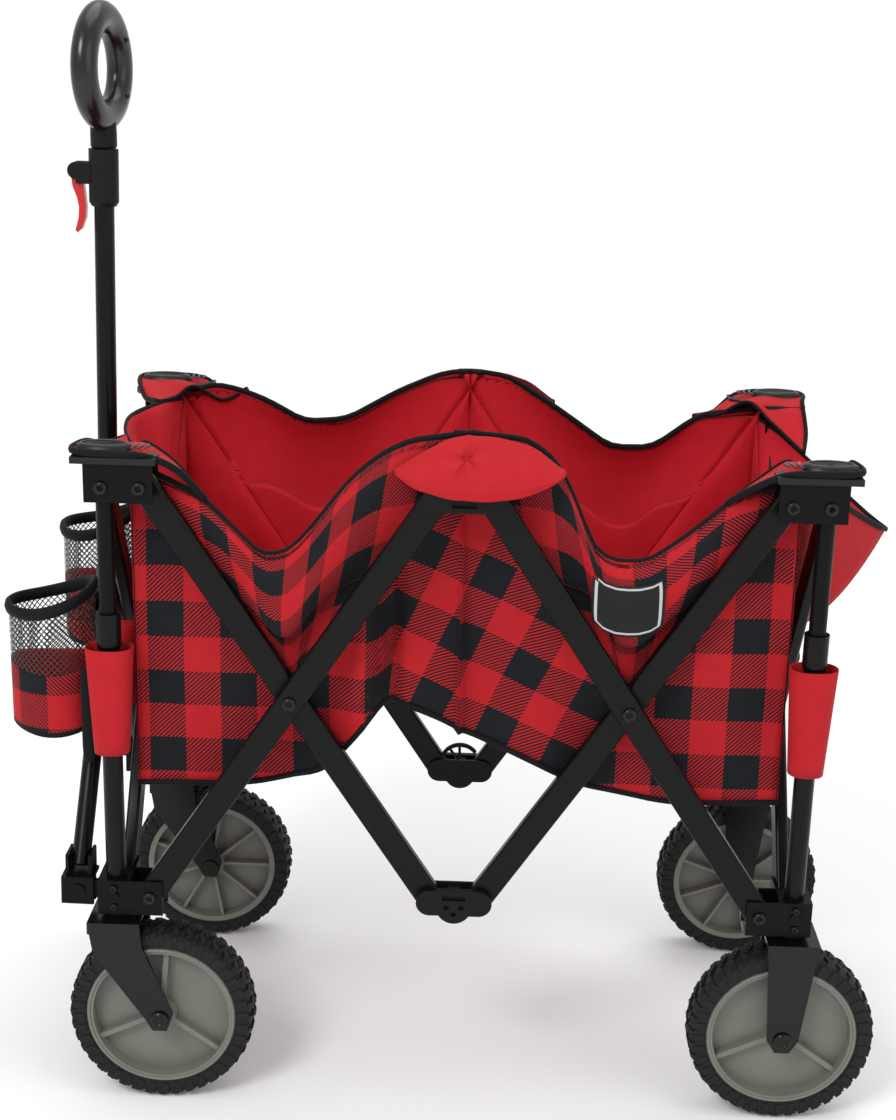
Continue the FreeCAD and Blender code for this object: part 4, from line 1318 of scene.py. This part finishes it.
    def hub_hood(self, side, s):
        """Eye-shaped hood from the rim down over a top centre hub, pulled in at a tuft."""
        m, n = 34, 90
        x = np.linspace(-0.064, 0.090, n)
        k = np.linspace(-1, 1, n)
        top = curve_at([(-0.064, 0.638), (-0.040, 0.654), (-0.018, 0.667), (0.003, 0.6715),
                        (0.035, 0.669), (0.062, 0.661), (0.090, 0.640)], x)
        low = curve_at([(-0.064, 0.636), (-0.045, 0.627), (-0.015, 0.6215), (0.013, 0.6205),
                        (0.045, 0.6225), (0.072, 0.630), (0.090, 0.638)], x)
        full = (1 - k ** 2)
        p = np.zeros((m, n, 3))
        for i, v in enumerate(np.linspace(0, 1, m)):
            puff = math.sin(math.pi * min(1.0, 0.56 + 0.44 * v)) if v > 0.2 else 1.0
            stand = 0.0105 + 0.034 * full ** 0.45 * puff + 0.006 * full * (1 - v)
            tuft = np.exp(-((x - 0.001) / 0.0045) ** 2 - ((v - 0.64) / 0.08) ** 2)
            seam = np.exp(-((x - 0.002) / 0.003) ** 2) * np.clip((v - 0.5) * 2, 0, 1)
            around = np.arctan2((v - 0.64) * 0.05, x - 0.001)
            near = np.exp(-((x - 0.001) / 0.024) ** 2 - ((v - 0.6) / 0.4) ** 2)
            ring = np.cos(5 * around + 0.6) * near
            pull = 0.0012 * np.sin(k * 14 + v * 3) * full
            p[i, :, 0] = x + SHIFT
            p[i, :, 1] = s * (0.1455 + stand - 0.005 * tuft - 0.003 * seam + 0.0022 * ring + pull)
            p[i, :, 2] = low + (top - low) * v
        ob = cloth_grid("hub_hood_" + side, p, p[:, :, (0, 2)], (0, -s * 0.0012, 0),
                        [MATS["red"]] * 3)
        ride_on(ob, "top_hub_" + side, "bag_end")
        declare_sheet(ob, p, "stretched", ["top_hub_" + side])


class WAGON_OT_pockets(bpy.types.Operator):
    """Bottle pockets in front: a plaid base, net above and bound rims."""

    bl_idname = "wagon.pockets"
    bl_label = "Bottle pockets"

    def execute(self, context):
        mats = [MATS["plaid"], MATS["lining"], MATS["binding"]]
        net = [MATS["net"], MATS["net"], MATS["binding"]]
        for side, s in SIDES.items():
            cx, cy, low = POCKETS[side]
            body = "upper_corner_front_" + side

            def ring(a, z, s=s, cx=cx, cy=cy):
                grow = 0.0395 + 0.0015 * math.sin(3 * a + s)
                x = cx + grow * 1.03 * math.cos(a)
                y = cy + grow * math.sin(a) * s
                return Vector((x, y, z))

            def base(v, u, ring=ring, low=low):
                a = math.radians(360) * u
                z = low + 0.062 * v + 0.004 * math.cos(a * 2)
                return ring(a, z), (u * 0.27, z)

            def mesh_part(v, u, ring=ring, low=low):
                a = math.radians(360) * u
                z = low + 0.062 + 0.004 * math.cos(a * 2) + (0.062 + 0.010 * math.cos(a)) * v
                return ring(a, z), (u * 0.27, z)

            for name, fn, kit, bands in (("pocket_base_", base, mats, [0]),
                                         ("pocket_net_", mesh_part, net, [11])):
                p, uv = sample(fn, 13, 49)
                ob = cloth_grid(name + side, p, uv, -outward(p, cx, cy) * 0.0010, kit, bands)
                ride_on(ob, body, "bag_end")
                declare_sheet(ob, p, "hung", ["upper_bracket_front_" + side])
            hoop = [ring(a, low + 0.124 + 0.010 * math.cos(a) + 0.004 * math.cos(2 * a))
                    for a in np.linspace(0, 2 * math.pi, 48, endpoint=False)]
            ride_on(tube_along("pocket_hoop_" + side, hoop, 0.0038, MATS["binding"], 8, 1.6,
                               closed=True), body, "bag_end")

            def floor(v, u, ring=ring, cx=cx, cy=cy, low=low):
                a = math.radians(360) * u
                q = ring(a, low + 0.001 + 0.004 * math.cos(a * 2))
                return Vector((cx + (q.x - cx) * v, cy + (q.y - cy) * v,
                               q.z - 0.003 * (1 - v))), (u * 0.2, v * 0.04)

            p, uv = sample(floor, 5, 33)
            ob = cloth_grid("pocket_floor_" + side, p, uv, (0, 0, 0.001), mats)
            ride_on(ob, body, "bag_end")
            declare_sheet(ob, p, "hung", ["upper_bracket_front_" + side])
            rows = []
            for z in (low + 0.02, low + 0.05, low + 0.08, low + 0.105):
                rows.append([(-WALL_X + SHIFT - 0.001, cy + s * 0.006, z),
                             (cx + 0.042, cy + s * 0.003, z)])
            p = np.array(rows)
            uv = p[:, :, (0, 2)]
            ob = cloth_grid("pocket_web_" + side, p, uv, (0, s * 0.001, 0),
                            [MATS["red"], MATS["red"], MATS["binding"]])
            ride_on(ob, body, "bag_end")
            declare_sheet(ob, p, "stretched", ["upper_bracket_front_" + side])
        return {"FINISHED"}


class WAGON_OT_hub_loops(bpy.types.Operator):
    """Ribbed finger loop on the inner side of the right bottom hub."""

    bl_idname = "wagon.hub_loops"
    bl_label = "Hub loops"

    def execute(self, context):
        for side, s in (("right", 1.0),):
            y = s * (POST_Y - 0.0185)
            arc = []
            for t in np.linspace(-0.15, 1.0, 14):
                a = math.pi * (0.30 + 0.62 * t)
                arc.append((SHIFT + 0.021 * math.cos(a), y, Z_LOW + 0.012 + 0.021 * math.sin(a)))
            loop = tube_along("hub_loop_" + side, arc, 0.0022, MATS["mould"], 8, 1.8, up=(0, 1, 0))
            ride_on(recalc(loop), "bottom_hub_" + side, "joint_plastic")
            for k, t in enumerate((0.35, 0.65)):
                a = math.pi * (0.30 + 0.62 * t)
                path = [(SHIFT + 0.004 * math.cos(a), y, Z_LOW + 0.012 + 0.004 * math.sin(a)),
                        (SHIFT + 0.021 * math.cos(a), y, Z_LOW + 0.012 + 0.021 * math.sin(a))]
                bar = tube_along("hub_loop_bar_%s_%d" % (side, k), path, 0.0016, MATS["mould"], 8,
                                 up=(0, 1, 0))
                ride_on(recalc(bar), "bottom_hub_" + side, "joint_plastic")
        return {"FINISHED"}


class WAGON_OT_stage(bpy.types.Operator):
    """Pale floor, soft studio lights and the camera."""

    bl_idname = "wagon.stage"
    bl_label = "Studio"

    def execute(self, context):
        st = context.scene.wagon_stage
        far = 60.0
        floor = make_mesh("studio_floor", [(-far, -far, 0), (far, -far, 0), (far, far, 0),
                                           (-far, far, 0)], [(0, 1, 2, 3)], [])
        m, t, s = new_material("studio floor")
        s.inputs["Base Color"].default_value = (*st.floor, 1.0)
        s.inputs["Roughness"].default_value = 0.9
        s.inputs["Specular IOR Level"].default_value = 0.0
        away = t.nodes.new("ShaderNodeVectorMath")
        away.operation = "LENGTH"
        t.links.new(t.nodes.new("ShaderNodeTexCoord").outputs["Object"], away.inputs[0])
        glow = math_node(t, "MULTIPLY_ADD", away.outputs["Value"], 0.062)
        glow.node.inputs[2].default_value = -0.055
        glow = math_node(t, "MINIMUM", math_node(t, "MAXIMUM", glow, 0.0), 0.27)
        s.inputs["Emission Color"].default_value = (1.0, 1.0, 1.0, 1.0)
        t.links.new(glow, s.inputs["Emission Strength"])
        floor.data.materials.append(m)
        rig.stage(floor)
        world = context.scene.world or bpy.data.worlds.new("studio")
        context.scene.world = world
        world.use_nodes = True
        sky = world.node_tree.nodes["Background"]
        sky.inputs[0].default_value = (1.0, 1.0, 1.0, 1.0)
        seen = world.node_tree.nodes.new("ShaderNodeLightPath").outputs["Is Camera Ray"]
        glow = math_node(world.node_tree, "MULTIPLY_ADD", seen, 0.2)
        glow.node.inputs[2].default_value = 0.8
        world.node_tree.links.new(glow, sky.inputs[1])
        for name, spot, size, power in (("key", (-1.4, -2.4, 2.8), 1.1, st.key_power),
                                        ("fill", (2.6, -1.8, 1.8), 2.2, st.key_power * 0.3),
                                        ("top", (0.3, 0.6, 3.2), 2.4, st.key_power * 0.6)):
            light = bpy.data.lights.new(name, "AREA")
            light.energy = power
            light.size = size
            ob = bpy.data.objects.new(name, light)
            ob.location = spot
            ob.rotation_euler = (Vector((0, 0, 0.4)) - Vector(spot)).to_track_quat("-Z", "Y").to_euler()
            context.scene.collection.objects.link(ob)
        cam = bpy.data.cameras.new("camera")
        cam.lens = st.lens
        cam.sensor_width = 36.0
        ob = bpy.data.objects.new("camera", cam)
        yaw, pitch, roll = 0.0175, 0.2941, 0.0252
        right = Vector((math.cos(yaw), math.sin(yaw), 0))
        ahead = Vector((-math.sin(yaw) * math.cos(pitch), math.cos(yaw) * math.cos(pitch),
                        -math.sin(pitch)))
        up = right.cross(ahead)
        side = right * math.cos(roll) + up * math.sin(roll)
        top = up * math.cos(roll) - right * math.sin(roll)
        turn = Matrix((side, top, -ahead)).transposed()
        ob.matrix_world = Matrix.Translation((0.0133 + SHIFT, -1.7094, 1.0254)) @ turn.to_4x4()
        context.scene.collection.objects.link(ob)
        context.scene.camera = ob
        context.scene.view_settings.view_transform = "Standard"
        return {"FINISHED"}


class WAGON_PT_panel(bpy.types.Panel):
    """Sidebar panel with the wagon's settings and steps."""

    bl_idname = "WAGON_PT_panel"
    bl_label = "Folding camp wagon"
    bl_space_type = "VIEW_3D"
    bl_region_type = "UI"
    bl_category = "Camp Wagon"

    def draw(self, context):
        for group in ("wagon_cloth", "wagon_running", "wagon_stage"):
            settings = getattr(context.scene, group)
            box = self.layout.box()
            for key in settings.__annotations__:
                box.prop(settings, key)
        for step in STEPS:
            self.layout.operator(step.bl_idname)


STEPS = (WAGON_OT_frame_finish, WAGON_OT_bolts, WAGON_OT_tyres, WAGON_OT_handle, WAGON_OT_bag,
         WAGON_OT_trim, WAGON_OT_pockets, WAGON_OT_hub_loops, WAGON_OT_stage)
GROUPS = {"wagon_cloth": WagonCloth, "wagon_running": WagonRunning, "wagon_stage": WagonStage}


def register():
    """Register the settings, steps and panel."""
    for name, group in GROUPS.items():
        bpy.utils.register_class(group)
        setattr(bpy.types.Scene, name, bpy.props.PointerProperty(type=group))
    for step in STEPS:
        bpy.utils.register_class(step)
    bpy.utils.register_class(WAGON_PT_panel)


def unregister():
    """Remove the panel, steps and settings."""
    bpy.utils.unregister_class(WAGON_PT_panel)
    for step in reversed(STEPS):
        bpy.utils.unregister_class(step)
    for name, group in GROUPS.items():
        delattr(bpy.types.Scene, name)
        bpy.utils.unregister_class(group)


def main():
    """Build the wagon's looks on its frame, and write the size before and after."""
    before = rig.bounds()
    register()
    for step in STEPS:
        area, action = step.bl_idname.split(".")
        getattr(getattr(bpy.ops, area), action)()
    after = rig.bounds()
    size = {"before": [list(v) for v in before], "after": [list(v) for v in after]}
    with open("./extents.json", "w") as f:
        json.dump(size, f)


if __name__ == "__main__":
    main()
